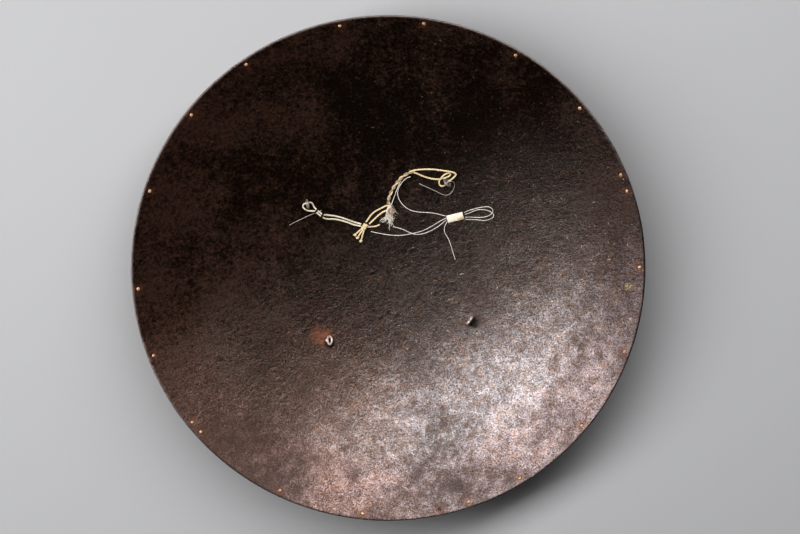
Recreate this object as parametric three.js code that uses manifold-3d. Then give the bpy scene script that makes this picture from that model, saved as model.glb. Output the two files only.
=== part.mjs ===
// A round, shallow-domed iron buckler shield, lying on its face with the hollow side up.
// Millimetres, +Z up, Z = 0 is the surface the four peened shank heads rest on.
import * as THREE from 'three';
import { mergeVertices } from 'three/addons/utils/BufferGeometryUtils.js';
import Module from 'manifold-3d';

const wasm = await Module();
wasm.setup();

// Dish
const RIM_RADIUS = 225;
const DISH_DEPTH = 60;
const SHEET = 1.8;
const DISH_SIDES = 60;
const DISH_RINGS = 8;

// Clearance kept between pieces that touch, and how far the flat facets stand in from the true sphere
const GAP = 0.35;
const FACET = 0.3;

// Grip eyes: a wire ring on a shank that passes through the sheet and a boss.
// Angles are in degrees: place round the dish, turn of the ring about the sheet's normal, and lean
const EYE_REACH = 90.5;
const EYE_WIRE = 1.05;
const EYE_RING = 3.5;
const SHANK = 1.3;
const SHANK_TOP = 1.7;
const WIRE_SIDES = 6;
const RING_STEPS = 14;
const EYES = [
  { name: 'upper_left', angle: 134.7, turn: 0, lean: 4 },
  { name: 'upper_right', angle: 45, turn: 36, lean: -6 },
  { name: 'lower_left', angle: 223.3, turn: -9, lean: 27 },
  { name: 'lower_right', angle: 315.1, turn: -44, lean: 5 },
];

// Bosses on the face
const BOSS_RADIUS = 16;
const BOSS_HEIGHT = 12.2;
const BOSS_WALL = 1.6;
const BOSS_SIDES = 16;
const BOSS_STEPS = 4;

// Peened shank head, with a worn flat where it rests
const HEAD_RADIUS = 4.2;
const HEAD_HEIGHT = 2.2;
const HEAD_FLAT_DEPTH = 0.4;
const HEAD_SIDES = 12;
const HEAD_STEPS = 4;

// Rim rivets
const RIVET_INSET = 4.6;
const RIVET_SHANK = 1.0;
const RIVET_HEAD = 1.8;
const RIVET_HEAD_HEIGHT = 1.0;
const RIVET_SIDES = 6;
const RIVET_TOP = 1.3;
const RIVET_SHOULDER = 0.7;
const RIVET_PITCH = 20;
const RIVET_FIRST = -8;
const RIVET_STRAY = [0, -2, 0, -1, 1, 0, 3, 0, 0, 3, -1, 0, 3, 3, 1, 1, 0, 0];
const EXTRA_RIVETS = [14, 209, 280];
const EMPTY_HOLE = 14;

// Cords
const STRING = 1.7;
const PLIED_CORD = 3.4;
const LINE = 0.8;
const WIRE = 0.7;
const STEP_PER_DIAMETER = 2.6;
const LINE_STEP = 3.4;
const CORD_SIDES = 8;
const HOLE_SIDES = 8;

// Worked out from the above
const innerSphere = (RIM_RADIUS ** 2 + DISH_DEPTH ** 2) / (2 * DISH_DEPTH);
const outerSphere = innerSphere + SHEET;
const rimAngle = Math.asin(RIM_RADIUS / innerSphere);
const eyeAngle = Math.asin(EYE_REACH / innerSphere);
const headSphere = (HEAD_RADIUS ** 2 + HEAD_HEIGHT ** 2) / (2 * HEAD_HEIGHT);
const headBase = SHEET + BOSS_HEIGHT + 2 * GAP;
const holeWidening = 1 / Math.cos(Math.PI / HOLE_SIDES);
const headReach = innerSphere + headBase + HEAD_HEIGHT - headSphere;
const centreZ = headReach * Math.cos(eyeAngle) + headSphere - HEAD_FLAT_DEPTH;

const iron = new THREE.MeshStandardMaterial({ color: 0x3a2c25, roughness: 0.6, metalness: 0.7 });
const eyeIron = new THREE.MeshStandardMaterial({ color: 0x5a4034, roughness: 0.5, metalness: 0.8 });
const bossIron = new THREE.MeshStandardMaterial({ color: 0x403029, roughness: 0.6, metalness: 0.7 });
const rivetMetal = new THREE.MeshStandardMaterial({ color: 0x8a5a3a, roughness: 0.45, metalness: 0.9 });
const cotton = new THREE.MeshStandardMaterial({ color: 0xd9c9a0, roughness: 0.9, metalness: 0 });
const fineLine = new THREE.MeshStandardMaterial({ color: 0x9a948a, roughness: 0.7, metalness: 0 });
const greyWire = new THREE.MeshStandardMaterial({ color: 0x6f6a68, roughness: 0.4, metalness: 0.9 });
const darkThread = new THREE.MeshStandardMaterial({ color: 0x15120f, roughness: 0.9, metalness: 0 });
const tape = new THREE.MeshStandardMaterial({ color: 0xe2d6b4, roughness: 0.8, metalness: 0 });

const degrees = THREE.MathUtils.degToRad;

// Solids: closed meshes to and from the boolean library

function toSolid(geometry) {
  geometry.deleteAttribute('normal');
  geometry.deleteAttribute('uv');
  const merged = mergeVertices(geometry, 1e-4);
  const corners = merged.index.array;
  const kept = [];
  for (let i = 0; i < corners.length; i += 3) {
    const [a, b, c] = [corners[i], corners[i + 1], corners[i + 2]];
    if (a !== b && b !== c && c !== a) kept.push(a, b, c);
  }
  const vertProperties = new Float32Array(merged.attributes.position.array);
  const triVerts = new Uint32Array(kept);
  return new wasm.Manifold(new wasm.Mesh({ numProp: 3, vertProperties, triVerts }));
}

function toGeometry(solid) {
  const mesh = solid.getMesh();
  const geometry = new THREE.BufferGeometry();
  geometry.setAttribute('position', new THREE.BufferAttribute(mesh.vertProperties, mesh.numProp));
  geometry.setIndex(new THREE.BufferAttribute(mesh.triVerts, 1));
  geometry.computeVertexNormals();
  return geometry;
}

function join(geometries) {
  return geometries.map(toSolid).reduce((whole, piece) => whole.add(piece));
}

// A profile of [radius, height] turned about Z
function turned(profile, sides) {
  const points = profile.map(([radius, height]) => new THREE.Vector2(radius, height));
  return new THREE.LatheGeometry(points, sides).rotateX(Math.PI / 2);
}

function arc(radius, height, from, to, steps) {
  const points = [];
  for (let i = 0; i <= steps; i++) {
    const angle = from + ((to - from) * i) / steps;
    points.push([radius * Math.sin(angle), height - radius * Math.cos(angle)]);
  }
  return points;
}

// Places on the dish

function sheetHeight(x, y) {
  return centreZ - Math.sqrt(innerSphere ** 2 - x ** 2 - y ** 2);
}

// A frame on the inner surface: Z along the inward normal, turned about it by an angle
function sheetFrame(x, y, turn) {
  const frame = new THREE.Group();
  const normal = new THREE.Vector3(-x, -y, centreZ - sheetHeight(x, y)).normalize();
  frame.position.set(x, y, sheetHeight(x, y));
  frame.quaternion.setFromUnitVectors(new THREE.Vector3(0, 0, 1), normal);
  frame.rotateZ(degrees(turn));
  frame.updateMatrix();
  return frame;
}

function rivetAngles() {
  const row = RIVET_STRAY.map((stray, i) => RIVET_FIRST + i * RIVET_PITCH + stray);
  return [...row, ...EXTRA_RIVETS];
}

function frameAt(angle, reach, turn) {
  return sheetFrame(reach * Math.cos(degrees(angle)), reach * Math.sin(degrees(angle)), turn);
}

const eyeFrames = EYES.map((eye) => frameAt(eye.angle, EYE_REACH, eye.turn));
const rivetFrames = rivetAngles().map((angle) => frameAt(angle, RIM_RADIUS - RIVET_INSET, 0));

// Pieces

function plate() {
  const inner = arc(innerSphere, centreZ, 0, rimAngle, DISH_RINGS);
  const outer = arc(outerSphere, centreZ, 0, rimAngle, DISH_RINGS);
  let dish = toSolid(turned([...outer, ...inner.reverse()], DISH_SIDES));
  const drill = (frame, radius) => {
    const width = (radius + GAP) * holeWidening;
    const hole = new THREE.CylinderGeometry(width, width, SHEET * 4, HOLE_SIDES).rotateX(Math.PI / 2);
    dish = dish.subtract(toSolid(hole.applyMatrix4(frame.matrix)));
  };
  eyeFrames.forEach((frame) => drill(frame, SHANK));
  rivetFrames.forEach((frame) => drill(frame, RIVET_SHANK));
  return toGeometry(dish);
}

function eyeStaple(lean, frame) {
  const ring = new THREE.TorusGeometry(EYE_RING, EYE_WIRE, WIRE_SIDES, RING_STEPS).rotateY(Math.PI / 2);
  ring.translate(0, 0, EYE_RING + EYE_WIRE + GAP);
  ring.rotateY(degrees(lean));
  ring.translate(0, 0, Math.abs(Math.sin(degrees(lean))) * EYE_WIRE);
  const shankLength = SHANK_TOP + headBase + HEAD_HEIGHT / 2;
  const shank = new THREE.CylinderGeometry(SHANK, SHANK, shankLength, CORD_SIDES).rotateX(Math.PI / 2);
  shank.translate(0, 0, SHANK_TOP - shankLength / 2);
  const capAngle = Math.asin(HEAD_RADIUS / headSphere);
  const cap = arc(headSphere, headSphere - HEAD_HEIGHT - headBase, 0, capAngle, HEAD_STEPS);
  const head = turned([...cap, [0, -headBase]], HEAD_SIDES);
  const floor = new THREE.BoxGeometry(1e3, 1e3, 10).translate(0, 0, -5);
  floor.applyMatrix4(frame.matrix.clone().invert());
  return toGeometry(join([ring, shank, head]).subtract(toSolid(floor)));
}

function boss() {
  const dome = (radius, height) => arc(1, 1, 0, Math.PI / 2, BOSS_STEPS).map(
    ([across, up]) => [Math.max(SHANK + GAP, radius * across), -height * (1 - up)],
  );
  const outside = dome(BOSS_RADIUS, BOSS_HEIGHT);
  const inside = dome(BOSS_RADIUS - BOSS_WALL, BOSS_HEIGHT - BOSS_WALL);
  const profile = [...outside, ...inside.reverse(), outside[0]];
  return toGeometry(toSolid(turned(profile, BOSS_SIDES).translate(0, 0, -SHEET - GAP)));
}

function rivet() {
  const head = (side, base) => [
    [RIVET_SHANK, base],
    [RIVET_HEAD, base],
    [RIVET_TOP, base + side * RIVET_SHOULDER],
    [0, base + side * RIVET_HEAD_HEIGHT],
  ];
  const profile = [...head(-1, -SHEET - GAP).reverse(), ...head(1, GAP + FACET)];
  return toGeometry(toSolid(turned(profile, RIVET_SIDES)));
}

// Cords: routes are [x, y, height of the cord's middle above the sheet]

function laid(route) {
  const points = route.map(([x, y, lift]) => new THREE.Vector3(x, y, sheetHeight(x, y) + lift));
  return new THREE.CatmullRomCurve3(points, false, 'centripetal');
}

function tube(path, diameter, step) {
  const corners = [];
  for (let i = 0; i < CORD_SIDES; i++) {
    const angle = (i * 2 * Math.PI) / CORD_SIDES;
    corners.push(new THREE.Vector2(Math.cos(angle), Math.sin(angle)).multiplyScalar(diameter / 2));
  }
  const steps = Math.ceil(path.getLength() / step);
  return new THREE.ExtrudeGeometry(new THREE.Shape(corners), { steps, extrudePath: path });
}

// One string from the knot, through the upper left eye and back beside itself
const LEFT_STRING = [
  [-20.3, 35.0, 1.6], [-24.8, 36.8, 1.4], [-28.6, 38.9, 1.4], [-32.2, 41.0, 1.4], [-35.8, 42.8, 1.4],
  [-39.4, 44.3, 1.4], [-43.2, 45.4, 1.4], [-46.8, 46.0, 1.5], [-50.1, 47.4, 2.4], [-52.6, 49.9, 3.75],
  [-54.8, 52.5, 3.75], [-56.35, 54.6, 3.75], [-57.6, 55.8, 3.5], [-60.0, 56.2, 2.4], [-62.8, 56.7, 1.5],
  [-65.3, 58.2, 1.4], [-67.1, 60.5, 1.4], [-66.9, 62.8, 2.0], [-65.4, 64.0, 3.1], [-63.3, 64.4, 4.1],
  [-61.2, 64.5, 4.1], [-59.2, 63.9, 3.3], [-58.2, 62.1, 2.8], [-57.6, 59.7, 2.9], [-55.8, 56.8, 3.75],
  [-53.4, 54.1, 3.75], [-51.2, 51.4, 3.75], [-48.0, 50.2, 2.5], [-44.2, 49.0, 1.6], [-39.8, 47.4, 1.4],
  [-35.5, 45.5, 1.4], [-31.5, 43.3, 1.4], [-27.5, 41.0, 1.4], [-23.7, 38.9, 1.4], [-19.5, 36.9, 1.6],
];
const MIDDLE_BIGHT = [
  [-13.7, 38.2, 1.8], [-11.9, 40.1, 1.5], [-9.8, 42.3, 1.4], [-7.4, 44.3, 1.4], [-4.7, 45.9, 1.4],
  [-1.9, 47.0, 1.4], [1.0, 47.9, 1.4], [3.6, 48.9, 1.4], [5.9, 49.6, 1.5], [8.3, 49.3, 1.6],
  [9.2, 47.4, 1.6], [7.8, 45.8, 1.5], [5.1, 45.2, 1.4], [2.4, 44.4, 1.4], [-0.1, 43.2, 1.4],
  [-2.5, 41.8, 1.4], [-4.9, 40.2, 1.4], [-7.4, 38.4, 1.4], [-9.2, 37.1, 1.5], [-10.9, 36.0, 1.7],
];
const RIGHT_CORD = [
  [8.2, 52.4, 2.3], [8.8, 54.6, 2.2], [9.8, 57.0, 2.2], [11.0, 59.3, 2.2], [12.4, 61.6, 2.2],
  [14.0, 63.9, 2.2], [15.8, 66.1, 2.2], [17.8, 68.3, 2.2], [19.9, 70.4, 2.2], [22.2, 72.3, 2.2],
  [24.6, 74.0, 2.2], [27.2, 75.3, 2.2], [29.8, 76.3, 2.2], [32.0, 76.9, 2.2], [34.0, 77.2, 2.2],
];
// One string from the plied cord, through the upper right eye and back, hitched on itself
const RIGHT_LOOP = [
  [35.6, 78.2, 2.2], [39.8, 78.1, 1.8], [44.2, 77.7, 1.5], [48.4, 77.2, 1.4], [52.6, 76.4, 1.6],
  [56.6, 75.5, 2.2], [60.4, 74.5, 3.0], [63.9, 73.6, 3.5], [67.4, 72.5, 3.6], [70.4, 71.1, 3.2],
  [71.6, 69.2, 2.8], [69.9, 67.2, 2.8], [67.6, 65.7, 3.3], [65.2, 64.4, 3.9], [62.9, 62.9, 4.1],
  [60.7, 61.2, 3.5], [58.4, 60.1, 2.4], [56.3, 61.1, 1.9], [55.6, 63.4, 2.4], [56.4, 65.8, 3.5],
  [58.1, 67.9, 3.6], [60.4, 69.6, 2.6], [63.1, 70.9, 1.6], [65.8, 71.0, 1.4], [67.0, 69.6, 1.4],
  [65.0, 68.2, 1.4], [61.4, 67.2, 1.4], [57.6, 66.8, 1.4], [53.6, 67.1, 1.4], [49.6, 68.2, 1.4],
  [45.9, 69.8, 1.4], [42.3, 71.7, 1.4], [38.9, 73.9, 1.6], [35.9, 75.8, 2.0],
];
const UPPER_WIRE = [
  [58.6, 61.2, 6.6], [61.0, 62.0, 6.3], [63.1, 63.1, 6.1], [65.4, 64.2, 6.0], [67.6, 63.8, 5.0],
  [68.9, 61.8, 3.2], [69.0, 59.2, 1.6], [67.9, 56.4, 1.0], [66.0, 53.8, 0.9], [63.4, 51.8, 0.9],
  [60.2, 51.2, 0.9], [56.9, 52.5, 0.9], [53.4, 54.9, 0.9], [49.6, 57.6, 0.9], [45.8, 60.1, 0.9],
  [42.1, 62.4, 0.9], [38.0, 65.2, 0.9],
];
const ARCHED_LINE = [
  [31.4, 72.6, 0.9], [28.4, 72.0, 0.9], [25.4, 70.4, 0.9], [22.6, 67.9, 0.9], [20.3, 65.1, 0.9],
  [18.6, 62.2, 0.9], [17.7, 59.0, 0.9], [17.8, 55.4, 0.9], [18.8, 51.8, 0.9], [20.6, 48.2, 0.9],
  [23.2, 44.9, 0.9], [26.6, 42.2, 0.9], [30.6, 40.3, 0.9], [35.2, 39.0, 0.9], [40.0, 38.0, 0.9],
  [44.9, 36.9, 0.9], [49.4, 35.4, 0.9], [53.4, 33.7, 1.1], [56.7, 32.5, 1.6],
];
const LONG_LINE = [
  [57.0, 30.6, 1.6], [53.8, 29.3, 1.1], [50.2, 27.9, 0.9], [46.4, 26.2, 0.9], [42.4, 24.5, 0.9],
  [38.2, 22.9, 0.9], [33.8, 21.7, 0.9], [29.2, 21.0, 0.9], [24.6, 20.6, 0.9], [20.0, 20.4, 0.9],
  [15.2, 20.5, 0.9], [10.4, 21.1, 0.9], [5.6, 22.2, 0.9], [1.0, 23.6, 0.9], [-3.4, 25.1, 0.9],
  [-7.6, 26.7, 0.9], [-11.4, 28.3, 0.9],
];
const SHORT_LINE = [
  [57.1, 29.0, 1.6], [54.6, 27.2, 1.1], [51.4, 25.2, 0.9], [47.8, 23.2, 0.9], [43.8, 21.5, 0.9],
  [39.6, 20.1, 0.9], [35.2, 19.2, 1.0], [31.0, 19.1, 1.4], [27.2, 19.9, 2.1], [23.8, 21.5, 2.1],
  [20.8, 23.4, 1.4], [17.8, 25.3, 1.0], [14.6, 27.0, 0.9], [11.6, 28.4, 0.9], [8.8, 29.5, 0.9],
];
const LONG_TURN = [
  [73.7, 33.3, 1.6], [77.5, 34.5, 1.1], [80.8, 35.1, 0.9], [84.1, 35.5, 0.9], [87.5, 36.0, 0.9],
  [91.1, 36.1, 0.9], [94.3, 36.1, 0.9], [96.8, 35.2, 0.9], [98.5, 33.8, 0.9], [99.2, 31.7, 0.9],
  [98.2, 29.7, 0.9], [95.9, 28.1, 0.9], [92.8, 27.1, 0.9], [89.4, 26.9, 0.9], [86.0, 27.1, 0.9],
  [82.6, 27.6, 0.9], [78.6, 28.4, 1.0], [73.9, 29.0, 1.6],
];
const SHORT_TURN = [
  [73.9, 31.6, 1.6], [77.9, 32.2, 1.0], [81.2, 33.2, 0.9], [84.4, 34.0, 0.9], [87.6, 34.2, 0.9],
  [90.8, 33.7, 0.9], [93.8, 32.8, 0.9], [96.4, 31.5, 1.7], [98.4, 29.9, 1.9], [99.4, 27.9, 1.2],
  [98.6, 25.8, 0.9], [96.1, 24.6, 0.9], [93.2, 23.9, 0.9], [90.2, 23.7, 0.9], [87.3, 24.4, 0.9],
  [84.2, 25.2, 0.9], [80.9, 25.8, 0.9], [77.4, 26.4, 1.0], [74.0, 27.0, 1.6],
];
const WHITE_THREAD = [
  [57.2, 27.2, 1.5], [56.2, 25.3, 1.1], [54.8, 23.2, 0.9], [53.9, 20.8, 0.9], [53.7, 18.4, 0.9],
  [54.2, 15.9, 0.9], [55.3, 13.2, 0.9], [56.4, 10.5, 0.9], [57.0, 7.7, 0.9], [57.4, 4.8, 0.9],
  [57.8, 1.9, 0.9], [58.3, -1.2, 0.9], [58.7, -4.0, 0.9],
  [59.0, -6.1, 0.9], [59.3, -8.2, 0.9],
];
const LEFT_WIRE = [
  [-51.6, 55.1, 0.9], [-53.4, 54.1, 0.9], [-55.2, 53.5, 0.9], [-57.0, 53.3, 0.9], [-58.9, 53.2, 0.9],
  [-60.9, 52.8, 0.9], [-62.8, 52.4, 0.9], [-64.6, 52.0, 0.9], [-66.4, 51.5, 0.9], [-68.1, 51.0, 0.9],
  [-69.8, 50.5, 0.9], [-71.5, 50.0, 0.9], [-73.1, 49.6, 0.9], [-74.7, 49.1, 0.9], [-76.3, 48.6, 0.9],
  [-77.8, 48.2, 0.9], [-79.2, 47.7, 0.9], [-80.6, 47.2, 0.9], [-81.9, 46.8, 1.0],
];

const CORDS = [
  { name: 'left_string', route: LEFT_STRING, diameter: STRING, material: cotton },
  { name: 'middle_bight', route: MIDDLE_BIGHT, diameter: STRING, material: cotton },
  { name: 'right_cord', route: RIGHT_CORD, diameter: PLIED_CORD, material: cotton },
  { name: 'right_loop', route: RIGHT_LOOP, diameter: STRING, material: cotton },
  { name: 'upper_wire', route: UPPER_WIRE, diameter: WIRE, material: greyWire },
  { name: 'left_wire', route: LEFT_WIRE, diameter: WIRE, material: greyWire },
  { name: 'arched_line', route: ARCHED_LINE, diameter: LINE, material: fineLine },
  { name: 'long_line', route: LONG_LINE, diameter: LINE, material: fineLine },
  { name: 'short_line', route: SHORT_LINE, diameter: LINE, material: fineLine },
  { name: 'long_turn', route: LONG_TURN, diameter: LINE, material: fineLine },
  { name: 'short_turn', route: SHORT_TURN, diameter: LINE, material: fineLine },
  { name: 'white_thread', route: WHITE_THREAD, diameter: LINE, material: cotton },
];

// The knot: a round body with three short tails, each ended by a small overhand knot
const KNOT_PLACE = [-15.8, 34.2];
const KNOT_SIZE = [3.6, 3.0, 2.3];
const KNOT_LIFT = 2.9;
const TAIL_BEAD = 1.4;
const KNOT_TAILS = [
  [[-20.6, 31.4, 2.0], [-25.9, 27.6, 1.9]],
  [[-20.2, 29.2, 2.0], [-24.0, 24.6, 1.9]],
  [[-18.6, 27.6, 2.0], [-21.5, 21.2, 1.9]],
];
const KNOT_ARM = [[-10.6, 32.7, 1.7], [-6.2, 32.4, 1.5], [-2.6, 33.3, 1.4]];

function bead(place, lift, radii) {
  const [x, y] = place;
  const ball = new THREE.SphereGeometry(1, 8, 6).scale(...radii);
  return ball.translate(x, y, sheetHeight(x, y) + lift);
}

function knot() {
  const start = [...KNOT_PLACE, KNOT_LIFT - 0.6];
  const parts = [bead(KNOT_PLACE, KNOT_LIFT, KNOT_SIZE)];
  for (const tail of KNOT_TAILS) {
    const [x, y, lift] = tail.at(-1);
    parts.push(tube(laid([start, ...tail]), STRING, STRING * STEP_PER_DIAMETER));
    parts.push(bead([x, y], lift, [TAIL_BEAD, TAIL_BEAD, TAIL_BEAD]));
  }
  parts.push(tube(laid([start, ...KNOT_ARM]), STRING, STRING * STEP_PER_DIAMETER));
  return toGeometry(join(parts));
}

// The frayed tuft: the outer shape of a flat bunch of loose fibres
const TUFT_PLACE = [6.9, 37.6];
const TUFT_SIZE = [4.8, 6.6, 1.5];

// Dark thread ties round both strands of the left string
const TIES = [
  { name: 'tie_outer', place: [-56.0, 55.95], lift: 3.75, heading: 127 },
  { name: 'tie_inner', place: [-51.8, 50.6], lift: 3.75, heading: 140 },
];
const TIE_INSIDE = 2.65;
const TIE_OUTSIDE = 3.05;
const TIE_LENGTH = 1.2;

function tie(spec) {
  const half = TIE_LENGTH / 2;
  const profile = [[TIE_INSIDE, -half], [TIE_OUTSIDE, -half], [TIE_OUTSIDE, half], [TIE_INSIDE, half]];
  const ring = turned([...profile, profile[0]], 12).rotateY(Math.PI / 2).rotateZ(degrees(spec.heading));
  const [x, y] = spec.place;
  return toGeometry(toSolid(ring.translate(x, y, sheetHeight(x, y) + spec.lift)));
}

// The sleeve of folded tape that holds the fine lines together
const SLEEVE_PLACE = [65.4, 30.1];
const SLEEVE_HEADING = 6.7;
const SLEEVE_LENGTH = 15.2;
const SLEEVE_WIDTH = 7.8;
const SLEEVE_HEIGHT = 2.2;

function sleeve() {
  const side = SLEEVE_HEIGHT / 2;
  const reach = SLEEVE_WIDTH / 2 - side;
  const section = new THREE.Shape();
  section.absarc(reach, 0, side, -Math.PI / 2, Math.PI / 2, false);
  section.absarc(-reach, 0, side, Math.PI / 2, (3 * Math.PI) / 2, false);
  const options = { depth: SLEEVE_LENGTH, bevelEnabled: false, curveSegments: 4 };
  const body = new THREE.ExtrudeGeometry(section, options).translate(0, 0, -SLEEVE_LENGTH / 2);
  body.rotateX(Math.PI / 2).rotateZ(Math.PI / 2);
  return toGeometry(toSolid(body.translate(0, 0, side + GAP + FACET)));
}

// The scene graph

const shield = new THREE.Group();

function add(name, geometry, material, parent = shield) {
  const mesh = new THREE.Mesh(geometry, material);
  mesh.name = name;
  parent.add(mesh);
}

add('plate', plate(), iron);

EYES.forEach((eye, i) => {
  const frame = eyeFrames[i];
  add(`eye_${eye.name}`, eyeStaple(eye.lean, frame), eyeIron, frame);
  add(`boss_${eye.name}`, boss(), bossIron, frame);
  shield.add(frame);
});

rivetFrames.forEach((frame, i) => {
  if (i === EMPTY_HOLE) return;
  add(`rivet_${String(i + 1).padStart(2, '0')}`, rivet(), rivetMetal, frame);
  shield.add(frame);
});

for (const cord of CORDS) {
  const step = Math.max(LINE_STEP, cord.diameter * STEP_PER_DIAMETER);
  add(cord.name, toGeometry(toSolid(tube(laid(cord.route), cord.diameter, step))), cord.material);
}
add('knot', knot(), cotton);
add('tuft', toGeometry(toSolid(bead(TUFT_PLACE, TUFT_SIZE[2] + GAP + FACET, TUFT_SIZE))), cotton);
TIES.forEach((spec) => add(spec.name, tie(spec), darkThread));

const sleeveFrame = sheetFrame(...SLEEVE_PLACE, SLEEVE_HEADING);
add('tape_sleeve', sleeve(), tape, sleeveFrame);
shield.add(sleeveFrame);

export default shield;
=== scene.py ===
"""The finished look of a round iron buckler shield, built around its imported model.

The shield lies on its face with the hollow side up. Everything is in metres, in the model's frame.
"""

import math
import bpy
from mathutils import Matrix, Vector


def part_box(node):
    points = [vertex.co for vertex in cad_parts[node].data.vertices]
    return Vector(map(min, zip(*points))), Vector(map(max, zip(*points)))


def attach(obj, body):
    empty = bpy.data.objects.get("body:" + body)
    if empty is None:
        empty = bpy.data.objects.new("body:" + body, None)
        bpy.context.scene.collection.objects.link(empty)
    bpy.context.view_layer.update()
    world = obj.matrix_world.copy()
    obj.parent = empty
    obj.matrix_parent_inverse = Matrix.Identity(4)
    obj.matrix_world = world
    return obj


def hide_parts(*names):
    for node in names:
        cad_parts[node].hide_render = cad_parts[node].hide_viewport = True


bl_info = {
    "name": "Iron Buckler Shield",
    "version": (1, 0, 0),
    "blender": (4, 5, 0),
    "location": "3D View > Sidebar > Buckler",
    "description": "Builds the dish, eyes, bosses, rivets and string hanger of a round iron buckler shield",
    "category": "Object",
}

import bpy
import numpy as np
from bpy.props import FloatProperty, FloatVectorProperty, IntProperty, PointerProperty
from mathutils import Matrix, Vector, noise

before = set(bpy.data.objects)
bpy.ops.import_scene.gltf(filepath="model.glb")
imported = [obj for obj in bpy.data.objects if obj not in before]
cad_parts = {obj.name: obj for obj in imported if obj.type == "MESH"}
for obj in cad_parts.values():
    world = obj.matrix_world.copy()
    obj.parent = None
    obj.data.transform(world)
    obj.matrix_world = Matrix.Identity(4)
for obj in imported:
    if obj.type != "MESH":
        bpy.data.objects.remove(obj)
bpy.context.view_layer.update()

BODY = "root"
MM = 0.001
NOISE_SEED = 7

# The dish: part of a sphere, with its crown at the bottom
RIM_RADIUS = 225 * MM
DISH_DEPTH = 60 * MM
SHEET = 1.8 * MM
INNER_SPHERE = (RIM_RADIUS**2 + DISH_DEPTH**2) / (2 * DISH_DEPTH)
RIM_ANGLE = math.asin(RIM_RADIUS / INNER_SPHERE)
CENTRE = Vector((0, 0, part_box("plate")[0][2] + INNER_SPHERE + SHEET))

# The grip eyes: place round the dish, turn about the sheet's normal and lean, in degrees
EYE_REACH = 90.5 * MM
EYES = {
    "upper_left": (134.7, 0, 4),
    "upper_right": (45.0, 36, -6),
    "lower_left": (223.3, -9, 27),
    "lower_right": (315.1, -44, 5),
}
EYE_STOUTNESS = {"lower_right": 1.3}
EYE_RING = 3.5 * MM
EYE_WIRE = 1.05 * MM
SHANK = 1.3 * MM
CLEARANCE = 0.35 * MM

BOSS_RADIUS = 16 * MM
BOSS_HEIGHT = 12.2 * MM
BOSS_WALL = 1.6 * MM

HEAD_RADIUS = 4.2 * MM
HEAD_HEIGHT = 2.2 * MM
HEAD_BASE = SHEET + BOSS_HEIGHT + 2 * CLEARANCE

# Rim rivets, in degrees round the rim
RIVET_PITCH = 20
RIVET_FIRST = -8
RIVET_STRAY = (0, -2, 0, -1, 1, 0, 3, 0, 0, 3, -1, 0, 3, 3, 1, 1, 0, 0)
EXTRA_RIVETS = (14, 209, 280)
EMPTY_HOLE = 14
RIVET_REACH = RIM_RADIUS - 4.6 * MM
RIVET_SHANK = 1.0 * MM


# ---------------------------------------------------------------- settings


class DishSettings(bpy.types.PropertyGroup):
    rings: IntProperty(
        name="Rings", description="Rings of faces on the hollow side", default=132, min=16
    )
    mark_size: FloatProperty(
        name="Hammer mark", description="Width of one hammer mark", default=15 * MM, unit="LENGTH"
    )
    mark_depth: FloatProperty(
        name="Mark depth", description="Depth of one hammer mark", default=0.16 * MM, unit="LENGTH"
    )
    wave_size: FloatProperty(
        name="Wave", description="Width of the broad unevenness", default=70 * MM, unit="LENGTH"
    )
    wave_depth: FloatProperty(
        name="Wave depth", description="Depth of the unevenness", default=0.9 * MM, unit="LENGTH"
    )
    pit_depth: FloatProperty(
        name="Pit depth", description="Depth of the corrosion pits", default=0.22 * MM, unit="LENGTH"
    )
    pimple_height: FloatProperty(
        name="Pimples", description="Height of the raised rust spots", default=0.5 * MM, unit="LENGTH"
    )
    metal: FloatVectorProperty(
        name="Metal", description="Colour of worn iron", default=(0.109, 0.089, 0.083), subtype="COLOR"
    )
    patina: FloatVectorProperty(
        name="Patina", description="Colour of dark skin", default=(0.066, 0.045, 0.035), subtype="COLOR"
    )
    rust: FloatVectorProperty(
        name="Rust", description="Colour of the red rust", default=(0.041, 0.015, 0.008), subtype="COLOR"
    )
    fresh_rust: FloatVectorProperty(
        name="Orange rust",
        description="Colour of the rust round the eyes",
        default=(0.27, 0.085, 0.03),
        subtype="COLOR",
    )


class FittingSettings(bpy.types.PropertyGroup):
    wire_colour: FloatVectorProperty(
        name="Eye", description="Colour of the worn wire", default=(0.92, 0.80, 0.74), subtype="COLOR"
    )
    rivet_colour: FloatVectorProperty(
        name="Rivet", description="Colour of the rivets", default=(0.80, 0.55, 0.36), subtype="COLOR"
    )
    rivet_head: FloatProperty(
        name="Rivet head", description="Radius of a rivet head", default=1.8 * MM, unit="LENGTH"
    )


class HangerSettings(bpy.types.PropertyGroup):
    string: FloatProperty(
        name="String", description="Diameter of the cotton string", default=1.7 * MM, unit="LENGTH"
    )
    plied_cord: FloatProperty(
        name="Plied cord", description="Diameter of the plied cord", default=3.4 * MM, unit="LENGTH"
    )
    line: FloatProperty(
        name="Line", description="Diameter of a fine line", default=0.8 * MM, unit="LENGTH"
    )
    wire: FloatProperty(
        name="Wire", description="Diameter of the thin wire", default=0.7 * MM, unit="LENGTH"
    )
    cotton: FloatVectorProperty(
        name="Cotton", description="Colour of golden string", default=(1.0, 0.84, 0.56), subtype="COLOR"
    )
    pale_cotton: FloatVectorProperty(
        name="Pale cotton", description="Colour of pale string", default=(1.0, 0.91, 0.74), subtype="COLOR"
    )
    line_colour: FloatVectorProperty(
        name="Line", description="Colour of the fine lines", default=(1.0, 0.93, 0.86), subtype="COLOR"
    )
    tape: FloatVectorProperty(
        name="Tape", description="Colour of the tape", default=(0.97, 0.92, 0.78), subtype="COLOR"
    )


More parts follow.
